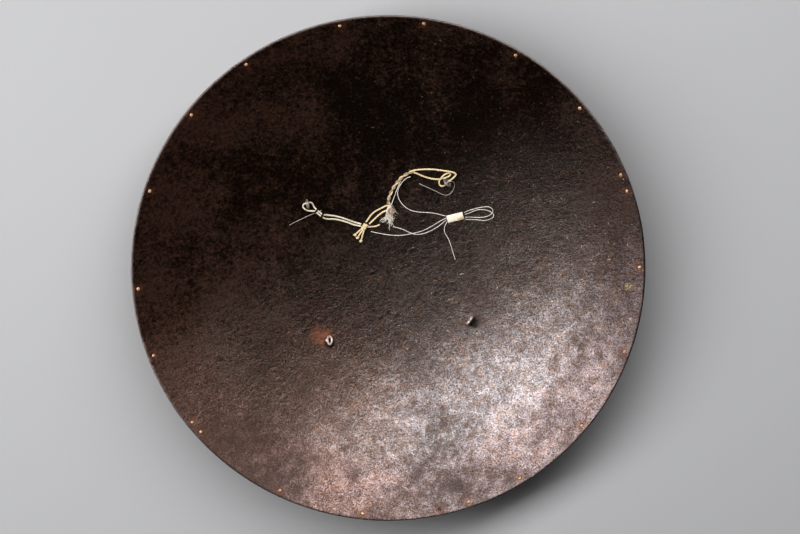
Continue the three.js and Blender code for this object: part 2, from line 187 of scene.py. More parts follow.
class StageSettings(bpy.types.PropertyGroup):
    view_tilt: FloatProperty(
        name="Tilt",
        description="Angle of the view from straight down",
        default=math.radians(10.7),
        subtype="ANGLE",
    )
    view_roll: FloatProperty(
        name="Roll", description="Turn of the shield in the view", default=math.radians(9.0), subtype="ANGLE"
    )
    distance: FloatProperty(name="Distance", description="Camera distance", default=2.6, unit="LENGTH")
    lens: FloatProperty(name="Lens", description="Focal length in millimetres", default=133.4)
    floor: FloatVectorProperty(
        name="Floor", description="Colour of the floor", default=(0.55, 0.55, 0.56), subtype="COLOR"
    )
    key_power: FloatProperty(name="Key light", description="Power of the key lamp, in watts", default=72)
    fill_power: FloatProperty(name="Fill light", description="Power of the fill lamp, in watts", default=0.5)


SETTINGS = {
    "buckler_dish": DishSettings,
    "buckler_fittings": FittingSettings,
    "buckler_hanger": HangerSettings,
    "buckler_stage": StageSettings,
}


# ---------------------------------------------------------------- node trees


WHITE = (1.0, 1.0, 1.0, 1.0)


class Tree:
    """Adds nodes to a tree and joins them up."""

    def __init__(self, tree):
        self.tree = tree

    def add(self, kind, inputs=None, **settings):
        node = self.tree.nodes.new(kind)
        for name, value in settings.items():
            setattr(node, name, value)
        for key, value in (inputs or {}).items():
            if isinstance(value, bpy.types.NodeSocket):
                self.tree.links.new(value, node.inputs[key])
            else:
                node.inputs[key].default_value = value
        return node

    def math(self, operation, a, b=0.0, clamp=False):
        return self.add("ShaderNodeMath", {0: a, 1: b}, operation=operation, use_clamp=clamp).outputs[0]

    def product(self, first, *others):
        """The values times each other."""
        for other in others:
            first = self.math("MULTIPLY", first, other)
        return first

    def total(self, first, *others):
        """The values added up."""
        for other in others:
            first = self.math("ADD", first, other)
        return first

    def weighed(self, *parts):
        """The sum of values, each times its weight."""
        return self.total(*(self.product(value, weight) for value, weight in parts))

    def strayed(self, value, noise, reach, clamp=False):
        """The value moved up and down by noise, by about half of the reach each way."""
        stray = self.product(self.math("SUBTRACT", noise, 0.5), reach)
        return self.math("ADD", value, stray, clamp=clamp)

    def vector(self, operation, a, b=None, scale=None):
        given = {0: a, 1: b, "Scale": scale}
        inputs = {key: value for key, value in given.items() if value is not None}
        node = self.add("ShaderNodeVectorMath", inputs, operation=operation)
        return node.outputs["Value" if operation in {"LENGTH", "DISTANCE", "DOT_PRODUCT"} else "Vector"]

    def spread(self, value, low, high, to_low=0.0, to_high=1.0):
        """A smooth step: to_low where the value is low, to_high where it is high."""
        inputs = {0: value, 1: low, 2: high, 3: to_low, 4: to_high}
        return self.add("ShaderNodeMapRange", inputs, interpolation_type="SMOOTHSTEP").outputs[0]

    def noise(self, place, size, detail=3.0, roughness=0.55, distortion=0.0):
        inputs = {"Vector": place, "Scale": 1 / size, "Detail": detail}
        inputs |= {"Roughness": roughness, "Distortion": distortion}
        return self.add("ShaderNodeTexNoise", inputs).outputs[0]

    def attribute(self, name):
        """A shader's reading of one number that is stored on the mesh."""
        return self.add("ShaderNodeAttribute", attribute_name=name).outputs["Fac"]

    def parts(self, place):
        """The x, y and z of a place."""
        return self.add("ShaderNodeSeparateXYZ", {0: place}).outputs

    def blend(self, share, a, b, how="MIX"):
        """A share of the way from colour a to colour b."""
        node = self.add("ShaderNodeMix", {0: share, 6: a, 7: b}, data_type="RGBA", blend_type=how)
        return node.outputs[2]

    def lerp(self, share, a, b):
        """A share of the way from number a to number b."""
        return self.add("ShaderNodeMix", {0: share, 2: a, 3: b}, data_type="FLOAT").outputs[0]

    def tinted(self, colour, share, tone):
        """The colour times a tone, where the share is 1."""
        return self.vector("MULTIPLY", colour, self.blend(share, WHITE, tone))

    def dimmed(self, colour, share, factor):
        """The colour times a factor, where the share is 1."""
        return self.vector("SCALE", colour, scale=self.lerp(share, 1.0, factor))


def rgba(colour, factor=1.0):
    return (*(min(1.0, channel * factor) for channel in colour), 1.0)


def material(name, build):
    """A material whose surface is made by build(tree, shader)."""
    made = bpy.data.materials.new(name)
    made.use_nodes = True
    tree = Tree(made.node_tree)
    build(tree, made.node_tree.nodes["Principled BSDF"])
    return made


def feed(tree, shader, name, value):
    socket = shader.inputs[name]
    if isinstance(value, bpy.types.NodeSocket):
        tree.tree.links.new(value, socket)
    else:
        socket.default_value = value


def bump(tree, shader, height, distance, strength=1.0):
    node = tree.add("ShaderNodeBump", {"Height": height, "Distance": distance, "Strength": strength})
    feed(tree, shader, "Normal", node.outputs[0])


def geometry_tree(name, sockets):
    """A geometry node tree with named inputs and one output, as its hand, its inputs and its end node."""
    tree = bpy.data.node_groups.new(name, "GeometryNodeTree")
    tree.interface.new_socket("Geometry", in_out="OUTPUT", socket_type="NodeSocketGeometry")
    for socket, kind in sockets.items():
        tree.interface.new_socket(socket, in_out="INPUT", socket_type=f"NodeSocket{kind}")
    hand = Tree(tree)
    given = hand.add("NodeGroupInput").outputs
    result = hand.add("NodeGroupOutput")
    return hand, given, result


def finish_tree(hand, geometry, material_socket, result):
    """Ends a tree: real geometry, with its material."""
    real = hand.add("GeometryNodeRealizeInstances", {0: geometry})
    painted = hand.add("GeometryNodeSetMaterial", {"Geometry": real.outputs[0], "Material": material_socket})
    smooth = hand.add("GeometryNodeSetShadeSmooth", {0: painted.outputs[0]})
    hand.tree.links.new(smooth.outputs[0], result.inputs[0])


def grown(name, source, tree, values):
    """The plain mesh that a node tree makes from a source object, which is used up."""
    modifier = source.modifiers.new(tree.name, "NODES")
    modifier.node_group = tree
    for socket in tree.interface.items_tree:
        if socket.in_out == "INPUT" and socket.name in values:
            modifier[socket.identifier] = values[socket.name]
    if not source.users_collection:
        bpy.context.scene.collection.objects.link(source)
    bpy.context.view_layer.update()
    graph = bpy.context.evaluated_depsgraph_get()
    mesh = bpy.data.meshes.new_from_object(source.evaluated_get(graph), depsgraph=graph)
    mesh.name = name
    if not mesh.materials and "Material" in values:
        mesh.materials.append(values["Material"])
    bpy.data.objects.remove(source)
    return placed(name, mesh)


# ---------------------------------------------------------------- meshes


def placed(name, mesh):
    piece = bpy.data.objects.new(name, mesh)
    bpy.context.scene.collection.objects.link(piece)
    return piece


def mesh_of(name, points, faces, paint=None, edges=()):
    mesh = bpy.data.meshes.new(name)
    mesh.from_pydata([tuple(p) for p in points], list(edges), [tuple(int(i) for i in f) for f in faces])
    mesh.shade_smooth()
    if paint:
        mesh.materials.append(paint)
    mesh.update()
    return mesh


def joined(parts):
    """Several (points, faces) as one."""
    points, faces, start = [], [], 0
    for part_points, part_faces in parts:
        points.extend(part_points)
        faces.extend(tuple(i + start for i in face) for face in part_faces)
        start += len(part_points)
    return points, faces


ON_AXIS = 1e-7


def turned(profile, sides):
    """A closed profile of (radius, height) turned about Z, as points and faces, facing outwards."""
    points, rows = [], []
    for radius, height in profile:
        count = sides if radius > ON_AXIS else 1
        rows.append(range(len(points), len(points) + count))
        for i in range(count):
            angle = 2 * math.pi * i / sides
            points.append(Vector((radius * math.cos(angle), radius * math.sin(angle), height)))
    faces = []
    following = rows[1:] + rows[:1] if profile[0][0] > ON_AXIS else rows[1:]
    for low, high in zip(rows, following):
        for i in range(sides):
            corners = [low[i % len(low)], low[(i + 1) % len(low)]]
            corners += [high[(i + 1) % len(high)], high[i % len(high)]]
            face = list(dict.fromkeys(corners))
            if len(face) > 2:
                faces.append(face)
    return points, faces


def tube(path, radii, sides):
    """A tube with closed ends along a path, as points and faces."""
    path = [Vector(p) for p in path]
    radii = np.broadcast_to(radii, len(path))
    points, faces = [], []
    side = None
    for i, here in enumerate(path):
        ahead = (path[min(i + 1, len(path) - 1)] - path[max(i - 1, 0)]).normalized()
        side = ahead.orthogonal() if side is None else side - ahead * side.dot(ahead)
        side.normalize()
        up = ahead.cross(side)
        for j in range(sides):
            angle = 2 * math.pi * j / sides
            points.append(here + (side * math.cos(angle) + up * math.sin(angle)) * float(radii[i]))
    for i in range(len(path) - 1):
        for j in range(sides):
            a, b = i * sides + j, i * sides + (j + 1) % sides
            faces.append((a, b, b + sides, a + sides))
    faces.append(tuple(reversed(range(sides))))
    faces.append(tuple(range(len(points) - sides, len(points))))
    return points, faces


def moved(part, matrix):
    points, faces = part
    return [matrix @ p for p in points], faces


def roughened(part, size, depth):
    """The same part with its points pushed about by smooth noise, in the same way each run."""
    noise.seed_set(NOISE_SEED)
    points, faces = part
    return [p + noise.noise_vector(p / size) * depth for p in points], faces


def cut(piece, operation, others, paint=None):
    """A piece with closed meshes cut from it or joined to it, as a plain mesh."""
    for points, faces in others:
        tool = placed("tool", mesh_of("tool", points, faces))
        modifier = piece.modifiers.new("cut", "BOOLEAN")
        modifier.operation = operation
        modifier.solver = "MANIFOLD"
        modifier.object = tool
    bpy.context.view_layer.update()
    graph = bpy.context.evaluated_depsgraph_get()
    mesh = bpy.data.meshes.new_from_object(piece.evaluated_get(graph), depsgraph=graph)
    for modifier in piece.modifiers:
        bpy.data.objects.remove(modifier.object)
    name = piece.name
    bpy.data.objects.remove(piece)
    mesh.shade_smooth()
    mesh.materials.clear()
    if paint:
        mesh.materials.append(paint)
    return placed(name, mesh)


# ---------------------------------------------------------------- places on the dish


def sheet_height(x, y):
    return CENTRE.z - math.sqrt(INNER_SPHERE**2 - x * x - y * y)


def sheet_frame(x, y, turn=0.0):
    """A frame on the hollow side: Z along the inward normal, turned about it by an angle in degrees."""
    place = Vector((x, y, sheet_height(x, y)))
    upright = Vector((0, 0, 1)).rotation_difference(CENTRE - place).to_matrix().to_4x4()
    return Matrix.Translation(place) @ upright @ Matrix.Rotation(math.radians(turn), 4, "Z")


def eye_frame(corner):
    angle, turn, _ = EYES[corner]
    angle = math.radians(angle)
    return sheet_frame(EYE_REACH * math.cos(angle), EYE_REACH * math.sin(angle), turn)


def rivet_angles():
    row = [RIVET_FIRST + i * RIVET_PITCH + stray for i, stray in enumerate(RIVET_STRAY)]
    return [math.radians(angle) for angle in (*row, *EXTRA_RIVETS)]


def rivet_frame(angle):
    return sheet_frame(RIVET_REACH * math.cos(angle), RIVET_REACH * math.sin(angle))


def on_sheet(x, y, lift):
    """A place given in millimetres across the dish and above the sheet."""
    return np.array([x * MM, y * MM, sheet_height(x * MM, y * MM) + lift * MM])


def carry(piece, slot, *nodes):
    """Hangs the piece on its body and hides the model's nodes that it stands for. The slot is not used."""
    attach(piece, BODY)
    if nodes:
        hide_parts(*nodes)


def nonzero(values):
    """The values with every 0 made a 1, to divide by."""
    return np.where(values == 0, 1, values)


# ---------------------------------------------------------------- dish


def dish_relief():
    """Hammer marks, waves, pits and raised rust spots, as moves towards the sphere's centre."""
    hand, given, result = geometry_tree(
        "Hammered Relief",
        {
            "Geometry": "Geometry", "Material": "Material", "Centre Height": "Float",
            "Mark Size": "Float", "Mark Depth": "Float", "Wave Size": "Float", "Wave Depth": "Float",
            "Pit Depth": "Float", "Pimple Height": "Float",
        },
    )
    place = hand.add("GeometryNodeInputPosition").outputs[0]
    flat = hand.vector("MULTIPLY", place, (1.0, 1.0, 0.0))
    centre = hand.add("ShaderNodeCombineXYZ", {2: given["Centre Height"]}).outputs[0]
    inward = hand.vector("NORMALIZE", hand.vector("SUBTRACT", centre, place))

    def sized(place, size):
        """The place counted in steps of a size."""
        cube = hand.add("ShaderNodeCombineXYZ", {0: size, 1: size, 2: size}).outputs[0]
        return hand.vector("DIVIDE", place, cube)

    warp = hand.add("ShaderNodeTexNoise", {"Vector": flat, "Scale": 1 / (30 * MM), "Detail": 1.0}).outputs[1]
    warp = hand.vector("SUBTRACT", warp, (0.5, 0.5, 0.5))
    bent = hand.vector("ADD", flat, hand.vector("SCALE", warp, scale=8 * MM))
    marks = hand.add(
        "ShaderNodeTexVoronoi",
        {"Vector": sized(bent, given["Mark Size"]), "Scale": 1.0, "Smoothness": 0.35},
        feature="SMOOTH_F1",
    ).outputs["Distance"]
    dents = hand.product(hand.math("POWER", marks, 2.0), given["Mark Depth"])
    swell = hand.add(
        "ShaderNodeTexNoise", {"Vector": sized(flat, given["Wave Size"]), "Scale": 1.0, "Detail": 2.0}
    ).outputs[0]
    waves = hand.product(hand.math("SUBTRACT", swell, 0.5), given["Wave Depth"])

    rot = hand.noise(flat, 5 * MM, detail=3.0, roughness=0.6)
    rot_patch = hand.spread(hand.noise(flat, 45 * MM), 0.42, 0.62, 0.25, 1.0)
    pits = hand.product(hand.spread(rot, 0.42, 0.70), rot_patch, given["Pit Depth"])

    chosen = hand.add(
        "ShaderNodeTexVoronoi", {"Vector": flat, "Scale": 1 / (7.5 * MM), "Randomness": 1.0}, feature="F1"
    )
    bead = hand.spread(chosen.outputs["Distance"], 0.30, 0.05)
    lot = hand.add("FunctionNodeSeparateColor", {0: chosen.outputs["Color"]}).outputs[0]
    few = hand.math("GREATER_THAN", lot, 0.72)
    from_middle = hand.vector("LENGTH", hand.vector("SUBTRACT", flat, (0.03, -0.01, 0.0)))
    often = hand.math("ADD", hand.spread(from_middle, 0.15, 0.05), 0.12)
    pimples = hand.product(bead, few, often, given["Pimple Height"])

    side = hand.add("GeometryNodeInputNamedAttribute", {"Name": "hollow_side"}, data_type="FLOAT")
    hollow_side = side.outputs[0]
    fine = hand.product(hand.math("SUBTRACT", pimples, pits), hollow_side)
    outer_pits = hand.product(hand.math("SUBTRACT", 1.0, hollow_side), hand.product(pits, 0.6))
    height = hand.total(hand.total(waves, dents), hand.total(fine, outer_pits))
    offset = hand.vector("SCALE", inward, scale=height)
    shaped = hand.add("GeometryNodeSetPosition", {"Geometry": given["Geometry"], "Offset": offset})
    finish_tree(hand, shaped.outputs[0], given["Material"], result)
    return hand.tree


def disc_grid(rings):
    """Even points on the unit disc in square rings, their squares as faces, and the edge in order."""
    steps = np.arange(-rings, rings + 1)
    across, along = np.meshgrid(steps, steps, indexing="ij")
    reach = np.maximum(abs(across), abs(along))
    wide = abs(across) > abs(along)
    share = np.where(wide, along, across) / np.where(wide, nonzero(across), nonzero(along))
    angle = np.where(wide, np.pi / 4 * share, np.pi / 2 - np.pi / 4 * share)
    sign = np.where(wide, np.sign(across), np.sign(along))
    radius = sign * nonzero(reach) * (reach > 0) / rings
    disc = np.stack([radius * np.cos(angle), radius * np.sin(angle)], axis=-1).reshape(-1, 2)
    size = 2 * rings + 1
    number = np.arange(size * size).reshape(size, size)
    corners = [number[:-1, :-1], number[1:, :-1], number[1:, 1:], number[:-1, 1:]]
    faces = np.stack(corners, axis=-1).reshape(-1, 4)
    edge = number[reach == rings]
    order = np.argsort(np.arctan2(disc[edge, 1], disc[edge, 0]))
    return disc, faces, edge[order]


def on_sphere(disc, radius, share=1.0):
    """Points of the unit disc laid on a sphere about the dish's centre, out to a share of the rim's angle."""
    reach = np.linalg.norm(disc, axis=1)
    angle = reach * RIM_ANGLE * share
    flat = disc / nonzero(reach)[:, None] * (radius * np.sin(angle))[:, None]
    return np.column_stack([flat, CENTRE.z - radius * np.cos(angle)])


def plain_dish(rings):
    """The dish as one closed body: hollow side, face, and a cut edge with its corners worn round."""
    hollow, hollow_faces, hollow_edge = disc_grid(rings)
    face, face_faces, face_edge = disc_grid(rings // 2)
    worn = 0.35 * MM
    inset = 1 - worn / (RIM_ANGLE * INNER_SPHERE)
    points = [on_sphere(hollow, INNER_SPHERE, inset), on_sphere(face, INNER_SPHERE + SHEET, inset)]
    faces = [tuple(f) for f in hollow_faces]
    start = len(points[0])
    faces += [tuple(f[::-1] + start) for f in face_faces]
    count = start + len(points[1])
    edge = hollow[hollow_edge]
    rows = [hollow_edge]
    for depth in (0.3 * MM, SHEET / 2, SHEET - 0.3 * MM):
        points.append(on_sphere(edge, INNER_SPHERE + depth))
        rows.append(np.arange(count, count + len(edge)))
        count += len(edge)
    for low, high in zip(rows, rows[1:]):
        faces += list(zip(low, high, np.roll(high, -1), np.roll(low, -1)))
    last, outer = rows[-1], face_edge + start
    for i in range(len(outer)):
        a, b, c = last[2 * i], last[2 * i + 1], last[(2 * i + 2) % len(last)]
        here, ahead = outer[i], outer[(i + 1) % len(outer)]
        faces += [(a, here, b), (b, here, ahead), (b, ahead, c)]
    return np.concatenate(points), faces


def mark_places(mesh):
    """Writes for each point which side it is on, how near the cut edge, and how near a rivet."""
    place = np.zeros(len(mesh.vertices) * 3)
    mesh.vertices.foreach_get("co", place)
    place = place.reshape(-1, 3)
    depth = np.linalg.norm(place - np.array(CENTRE), axis=1) - INNER_SPHERE
    reach = np.linalg.norm(place[:, :2], axis=1)
    rim = np.clip((reach - (RIM_RADIUS - 0.5 * MM)) / (0.4 * MM), 0, 1)
    rivets = np.array([rivet_frame(angle).translation for angle in rivet_angles()])
    nearest = np.min(np.linalg.norm(place[:, None, :2] - rivets[None, :, :2], axis=2), axis=1)
    values = {
        "hollow_side": np.clip(1 - depth / SHEET, 0, 1),
        "cut_edge": rim,
        "by_rivet": np.clip(1 - nearest / (7 * MM), 0, 1),
    }
    for name, value in values.items():
        layer = mesh.attributes.new(name, "FLOAT", "POINT")
        layer.data.foreach_set("value", value.astype(np.float32))


def dish_metal(settings):
    """Old hammered iron: worn metal, dark skin, red rust and orange rust round the eyes, with a painted glow,
    painted highlights and painted shade, and painted shadows beside two eyes.
    """

    def build(tree, shader):
        place = tree.add("ShaderNodeTexCoord").outputs["Object"]
        x, y, _ = tree.parts(place)
        flat = tree.vector("MULTIPLY", place, (1.0, 1.0, 0.0))
        edge, rivet = tree.attribute("cut_edge"), tree.attribute("by_rivet")
        reach = tree.vector("LENGTH", flat)

        broad = tree.noise(place, 55 * MM, detail=3.0)
        mottle = tree.noise(place, 13 * MM, detail=4.0, roughness=0.6)
        fine = tree.noise(place, 2.8 * MM, detail=4.0, roughness=0.7)
        grain = tree.noise(place, 1.3 * MM, detail=2.0, roughness=0.7)
        tint = tree.noise(tree.vector("ADD", place, (3.0, 1.0, 2.0)), 7 * MM, detail=4.0, roughness=0.7)

        # dark skin, rubbed through to worn metal; the mask named worn is the lit side towards the lower
        # right, and painted highlights of bright metal are laid on it
        slope = tree.vector("DOT_PRODUCT", place, (0.36, -0.93, 0.0))
        worn = tree.spread(slope, -0.08, 0.17)
        rub = tree.weighed((mottle, 0.25), (fine, 0.4), (grain, 0.35), (worn, 0.1))
        bare = tree.spread(rub, 0.31, 0.68)
        painted_highlight = tree.product(tree.spread(rub, 0.54, 0.72), worn)
        dark_skin, pale_skin = rgba(settings.patina, 0.5), rgba(settings.patina, 1.3)
        skin = tree.blend(tree.spread(grain, 0.36, 0.64), dark_skin, pale_skin)
        dark_metal, pale_metal = rgba(settings.metal, 0.7), rgba(settings.metal, 1.3)
        metal = tree.blend(tree.spread(grain, 0.3, 0.7), dark_metal, pale_metal)
        colour = tree.blend(bare, skin, metal)
        # painted highlight: bright metal specks on the lit lower right
        colour = tree.blend(painted_highlight, colour, rgba(settings.metal, 2.4))
        warm = tree.blend(1.0, colour, (1.1, 0.96, 0.85, 1.0), "MULTIPLY")
        colour = tree.blend(tree.spread(tint, 0.46, 0.62), colour, warm)

        # broad tones: painted light, paler down the slope towards the lower right; painted shade at the top;
        # browner at the left, duller by the rim
        bright = tree.spread(slope, 0.055, 0.165)
        shaded_top = tree.spread(slope, -0.01, -0.075)
        tone = tree.blend(bright, WHITE, (1.8, 2.0, 2.2, 1.0))
        tone = tree.blend(shaded_top, tone, (0.56, 0.42, 0.33, 1.0))
        colour = tree.vector("MULTIPLY", colour, tone)
        colour = tree.tinted(colour, tree.spread(x, 0.03, -0.09), (1.08, 0.94, 0.87, 1.0))
        colour = tree.tinted(colour, tree.spread(reach, 0.16, 0.2), (0.82, 0.73, 0.71, 1.0))
        # painted shade: darker towards the middle of the dish
        colour = tree.vector("SCALE", colour, scale=tree.spread(reach, 0.05, 0.13, 0.76, 1.0))
        # painted light: the lower left rim made brighter; painted shade: the lower right rim made darker
        lower = tree.spread(y, 0.03, -0.04)
        colour = tree.dimmed(colour, tree.product(tree.spread(x, -0.12, -0.2), lower), 2.4)
        colour = tree.dimmed(colour, tree.product(tree.spread(x, 0.155, 0.205), lower), 0.65)

        # pale flecks
        fleck = tree.noise(tree.vector("ADD", place, (1.0, 5.0, 2.0)), 2.2 * MM, detail=1.0)
        fleck = tree.product(
            tree.spread(fleck, 0.68, 0.74),
            tree.spread(mottle, 0.44, 0.6),
            tree.spread(x, -0.06, 0.05, 0.25, 0.75),
        )
        colour = tree.blend(fleck, colour, (0.55, 0.42, 0.28, 1.0))

        # red rust: blotches and specks, more towards the rim and the lower left
        lean = tree.weighed((tree.spread(reach, 0.13, 0.23), 0.05), (tree.spread(x, 0.15, -0.2), 0.07))
        blotch = tree.weighed((broad, 0.35), (tint, 0.3), (fine, 0.35))
        rusty = tree.product(tree.spread(tree.total(blotch, lean), 0.50, 0.68), 0.7)
        red = tree.blend(tree.spread(fine, 0.35, 0.65), rgba(settings.rust, 0.5), rgba(settings.rust, 1.4))
        colour = tree.blend(rusty, colour, red)

        # orange rust by one eye and round the rivets
        foot = eye_frame("lower_left").translation
        halo = tree.vector("DISTANCE", flat, (foot.x - 1.5 * MM, foot.y + 2.5 * MM, 0.0))
        halo = tree.spread(tree.strayed(halo, mottle, 30 * MM), 13 * MM, 2 * MM)
        halo = tree.math("MAXIMUM", tree.product(halo, 0.9), tree.product(rivet, 0.4))
        halo = tree.product(halo, tree.spread(fine, 0.3, 0.65, 0.3, 1.0))
        colour = tree.blend(halo, colour, rgba(settings.fresh_rust))

        # painted shadow: a black patch on the sheet beside each of the two eyes that stand free, where their
        # shadows fall
        for corner in ("lower_left", "lower_right"):
            foot = eye_frame(corner).translation
            dark_patch = tree.vector("DISTANCE", flat, (foot.x + 2.2 * MM, foot.y - 3.0 * MM, 0.0))
            dark_patch = tree.spread(tree.strayed(dark_patch, fine, 5 * MM), 7 * MM, 2.5 * MM)
            colour = tree.blend(tree.product(dark_patch, 0.95), colour, rgba(settings.rust, 0.1))

        # a yellow-green spot near the right rim
        spot = tree.vector("DISTANCE", flat, (0.2065, -0.047, 0.0))
        spot = tree.product(tree.spread(spot, 4.5 * MM, 1.5 * MM), tree.spread(fine, 0.45, 0.6))
        colour = tree.blend(spot, colour, (0.42, 0.38, 0.12, 1.0))

        # the cut edge: a painted highlight along the top, and painted shade towards the lower right
        lip = tree.blend(tree.spread(slope, -0.04, 0.08), rgba(settings.metal, 3.2), rgba(settings.rust, 0.3))
        colour = tree.blend(tree.product(edge, 0.85), colour, lip)
        feed(tree, shader, "Base Color", colour)

        dull = tree.math("MAXIMUM", rusty, tree.math("MAXIMUM", halo, spot))
        shiny = tree.math("SUBTRACT", 1.0, dull)
        metallic = tree.math("MULTIPLY", tree.lerp(bare, 0.94, 0.98), shiny, clamp=True)
        feed(tree, shader, "Metallic", metallic)
        roughness = tree.math("SUBTRACT", tree.lerp(bare, 0.38, 0.33), tree.product(shaded_top, 0.05))
        roughness = tree.strayed(roughness, fine, 0.25)
        roughness = tree.math("ADD", roughness, tree.product(dull, 0.2), clamp=True)
        feed(tree, shader, "Roughness", roughness)
        bump(tree, shader, tree.weighed((fine, 0.9), (grain, 0.55)), 0.55 * MM, 0.8)

    return material("hammered_iron", build)


class BUCKLER_OT_dish(bpy.types.Operator):
    """Make the dished iron sheet, with its rivet and shank holes, relief and patina"""

    bl_idname = "buckler.dish"
    bl_label = "Dish"

    def execute(self, context):
        settings = context.scene.buckler_dish
        points, faces = plain_dish(settings.rings)
        plain = placed("plain_dish", mesh_of("plain_dish", points, faces))
        holes = []
        bored = [(eye_frame(corner), SHANK) for corner in EYES]
        bored += [(rivet_frame(angle), RIVET_SHANK) for angle in rivet_angles()]
        low, high = -4 * SHEET, 3 * SHEET
        for matrix, radius in bored:
            width = radius + CLEARANCE
            drill = turned([(0, low), (width, low), (width, high), (0, high)], 20)
            holes.append(moved(drill, matrix))
        plain = cut(plain, "DIFFERENCE", [joined(holes)])
        mark_places(plain.data)
        values = {
            "Material": dish_metal(settings),
            "Centre Height": CENTRE.z,
            "Mark Size": settings.mark_size,
            "Mark Depth": settings.mark_depth,
            "Wave Size": settings.wave_size,
            "Wave Depth": settings.wave_depth,
            "Pit Depth": settings.pit_depth,
            "Pimple Height": settings.pimple_height,
        }
        carry(grown("iron_dish", plain, dish_relief(), values), "dish_iron", "plate")
        return {"FINISHED"}


# ---------------------------------------------------------------- eyes, bosses and rivets


def eye_metal(settings):
    """Rusty wrought wire, worn bright where it stands proud, with painted shade on the two upper eyes."""

    def build(tree, shader):
        place = tree.add("ShaderNodeTexCoord").outputs["Object"]
        patch = tree.noise(place, 3 * MM, detail=4.0, roughness=0.6)
        grain = tree.noise(place, 0.8 * MM, detail=2.0)
        rust = tree.blend(grain, (0.10, 0.045, 0.02, 1.0), (0.34, 0.15, 0.07, 1.0))
        _, y, _ = tree.parts(place)
        bare = tree.spread(patch, 0.26, 0.46)
        colour = tree.blend(bare, rust, rgba(settings.wire_colour))
        # painted shade: the two upper eyes, further up the dish, made darker
        colour = tree.vector("SCALE", colour, scale=tree.spread(y, -0.02, 0.02, 1.0, 0.42))
        feed(tree, shader, "Base Color", colour)
        feed(tree, shader, "Metallic", tree.lerp(bare, 0.1, 0.4))
        feed(tree, shader, "Roughness", tree.lerp(bare, 0.7, 0.4))
        bump(tree, shader, tree.total(patch, tree.product(grain, 0.5)), 0.25 * MM, 0.7)

    return material("eye_wire", build)


def boss_metal(settings):
    """Plain forged iron under a dark brown skin."""

    def build(tree, shader):
        place = tree.add("ShaderNodeTexCoord").outputs["Object"]
        patch = tree.noise(place, 9 * MM, detail=5.0, roughness=0.62)
        grain = tree.noise(place, 1.4 * MM, detail=3.0)
        bare = tree.spread(tree.total(patch, tree.product(grain, 0.3)), 0.55, 0.85)
        skin = tree.blend(grain, rgba(settings.patina, 0.8), rgba(settings.rust, 0.9))
        feed(tree, shader, "Base Color", tree.blend(bare, skin, rgba(settings.metal, 0.9)))
        feed(tree, shader, "Metallic", tree.lerp(bare, 0.5, 1.0))
        feed(tree, shader, "Roughness", tree.lerp(bare, 0.6, 0.42))
        bump(tree, shader, tree.total(patch, tree.product(grain, 0.4)), 0.4 * MM, 0.6)

    return material("boss_iron", build)


def rivet_metal(settings):
    """Coppery rivets, dark in the hollows."""

    def build(tree, shader):
        place = tree.add("ShaderNodeTexCoord").outputs["Object"]
        patch = tree.noise(place, 1.6 * MM, detail=4.0, roughness=0.6)
        black, brown, bright = (rgba(settings.rivet_colour, factor) for factor in (0.35, 0.7, 1.25))
        tarnish = tree.blend(tree.noise(place, 20 * MM), black, brown)
        colour = tree.blend(tree.spread(patch, 0.4, 0.62), tarnish, bright)
        feed(tree, shader, "Base Color", colour)
        shader.inputs["Metallic"].default_value = 0.4
        feed(tree, shader, "Roughness", tree.spread(patch, 0.3, 0.7, 0.5, 0.34))
        bump(tree, shader, patch, 0.2 * MM, 0.6)

    return material("rivet_metal", build)


def shank_head(sides, steps=8):
    """The peened end of a shank: a low dome, with its flat underside against the boss."""
    sphere = (HEAD_RADIUS**2 + HEAD_HEIGHT**2) / (2 * HEAD_HEIGHT)
    widest = math.asin(HEAD_RADIUS / sphere)
    low = -HEAD_BASE - HEAD_HEIGHT + sphere
    angles = [widest * i / steps for i in range(steps + 1)]
    arc = [(sphere * math.sin(angle), low - sphere * math.cos(angle)) for angle in angles]
    return turned([*arc, (HEAD_RADIUS - 0.3 * MM, -HEAD_BASE), (0, -HEAD_BASE)], sides)


def eye_loop(lean, stout, steps=48):
    """The wire ring, a little uneven and worn thinner at the top, closing into the shank."""
    path, radii = [], []
    centre = EYE_RING + EYE_WIRE + CLEARANCE
    opening = math.radians(14)
    for i in range(steps + 1):
        angle = -math.pi / 2 + opening + (2 * math.pi - 2 * opening) * i / steps
        path.append(Vector((0, EYE_RING * math.cos(angle), centre + EYE_RING * math.sin(angle))))
        radii.append(EYE_WIRE * stout * (0.97 - 0.12 * max(0.0, math.sin(angle))))
    foot = Vector((0, 0, EYE_WIRE * 0.6))
    apart = Vector((0, 0.4 * MM, 0))
    path = [foot + apart, *path, foot - apart]
    radii = [EYE_WIRE * 0.8, *radii, EYE_WIRE * 0.8]
    tilt = Matrix.Rotation(math.radians(lean), 4, "Y")
    lift = Matrix.Translation((0, 0, abs(math.sin(math.radians(lean))) * EYE_WIRE))
    return moved(roughened(tube(path, radii, 16), 2.2 * MM, 0.1 * MM), lift @ tilt)


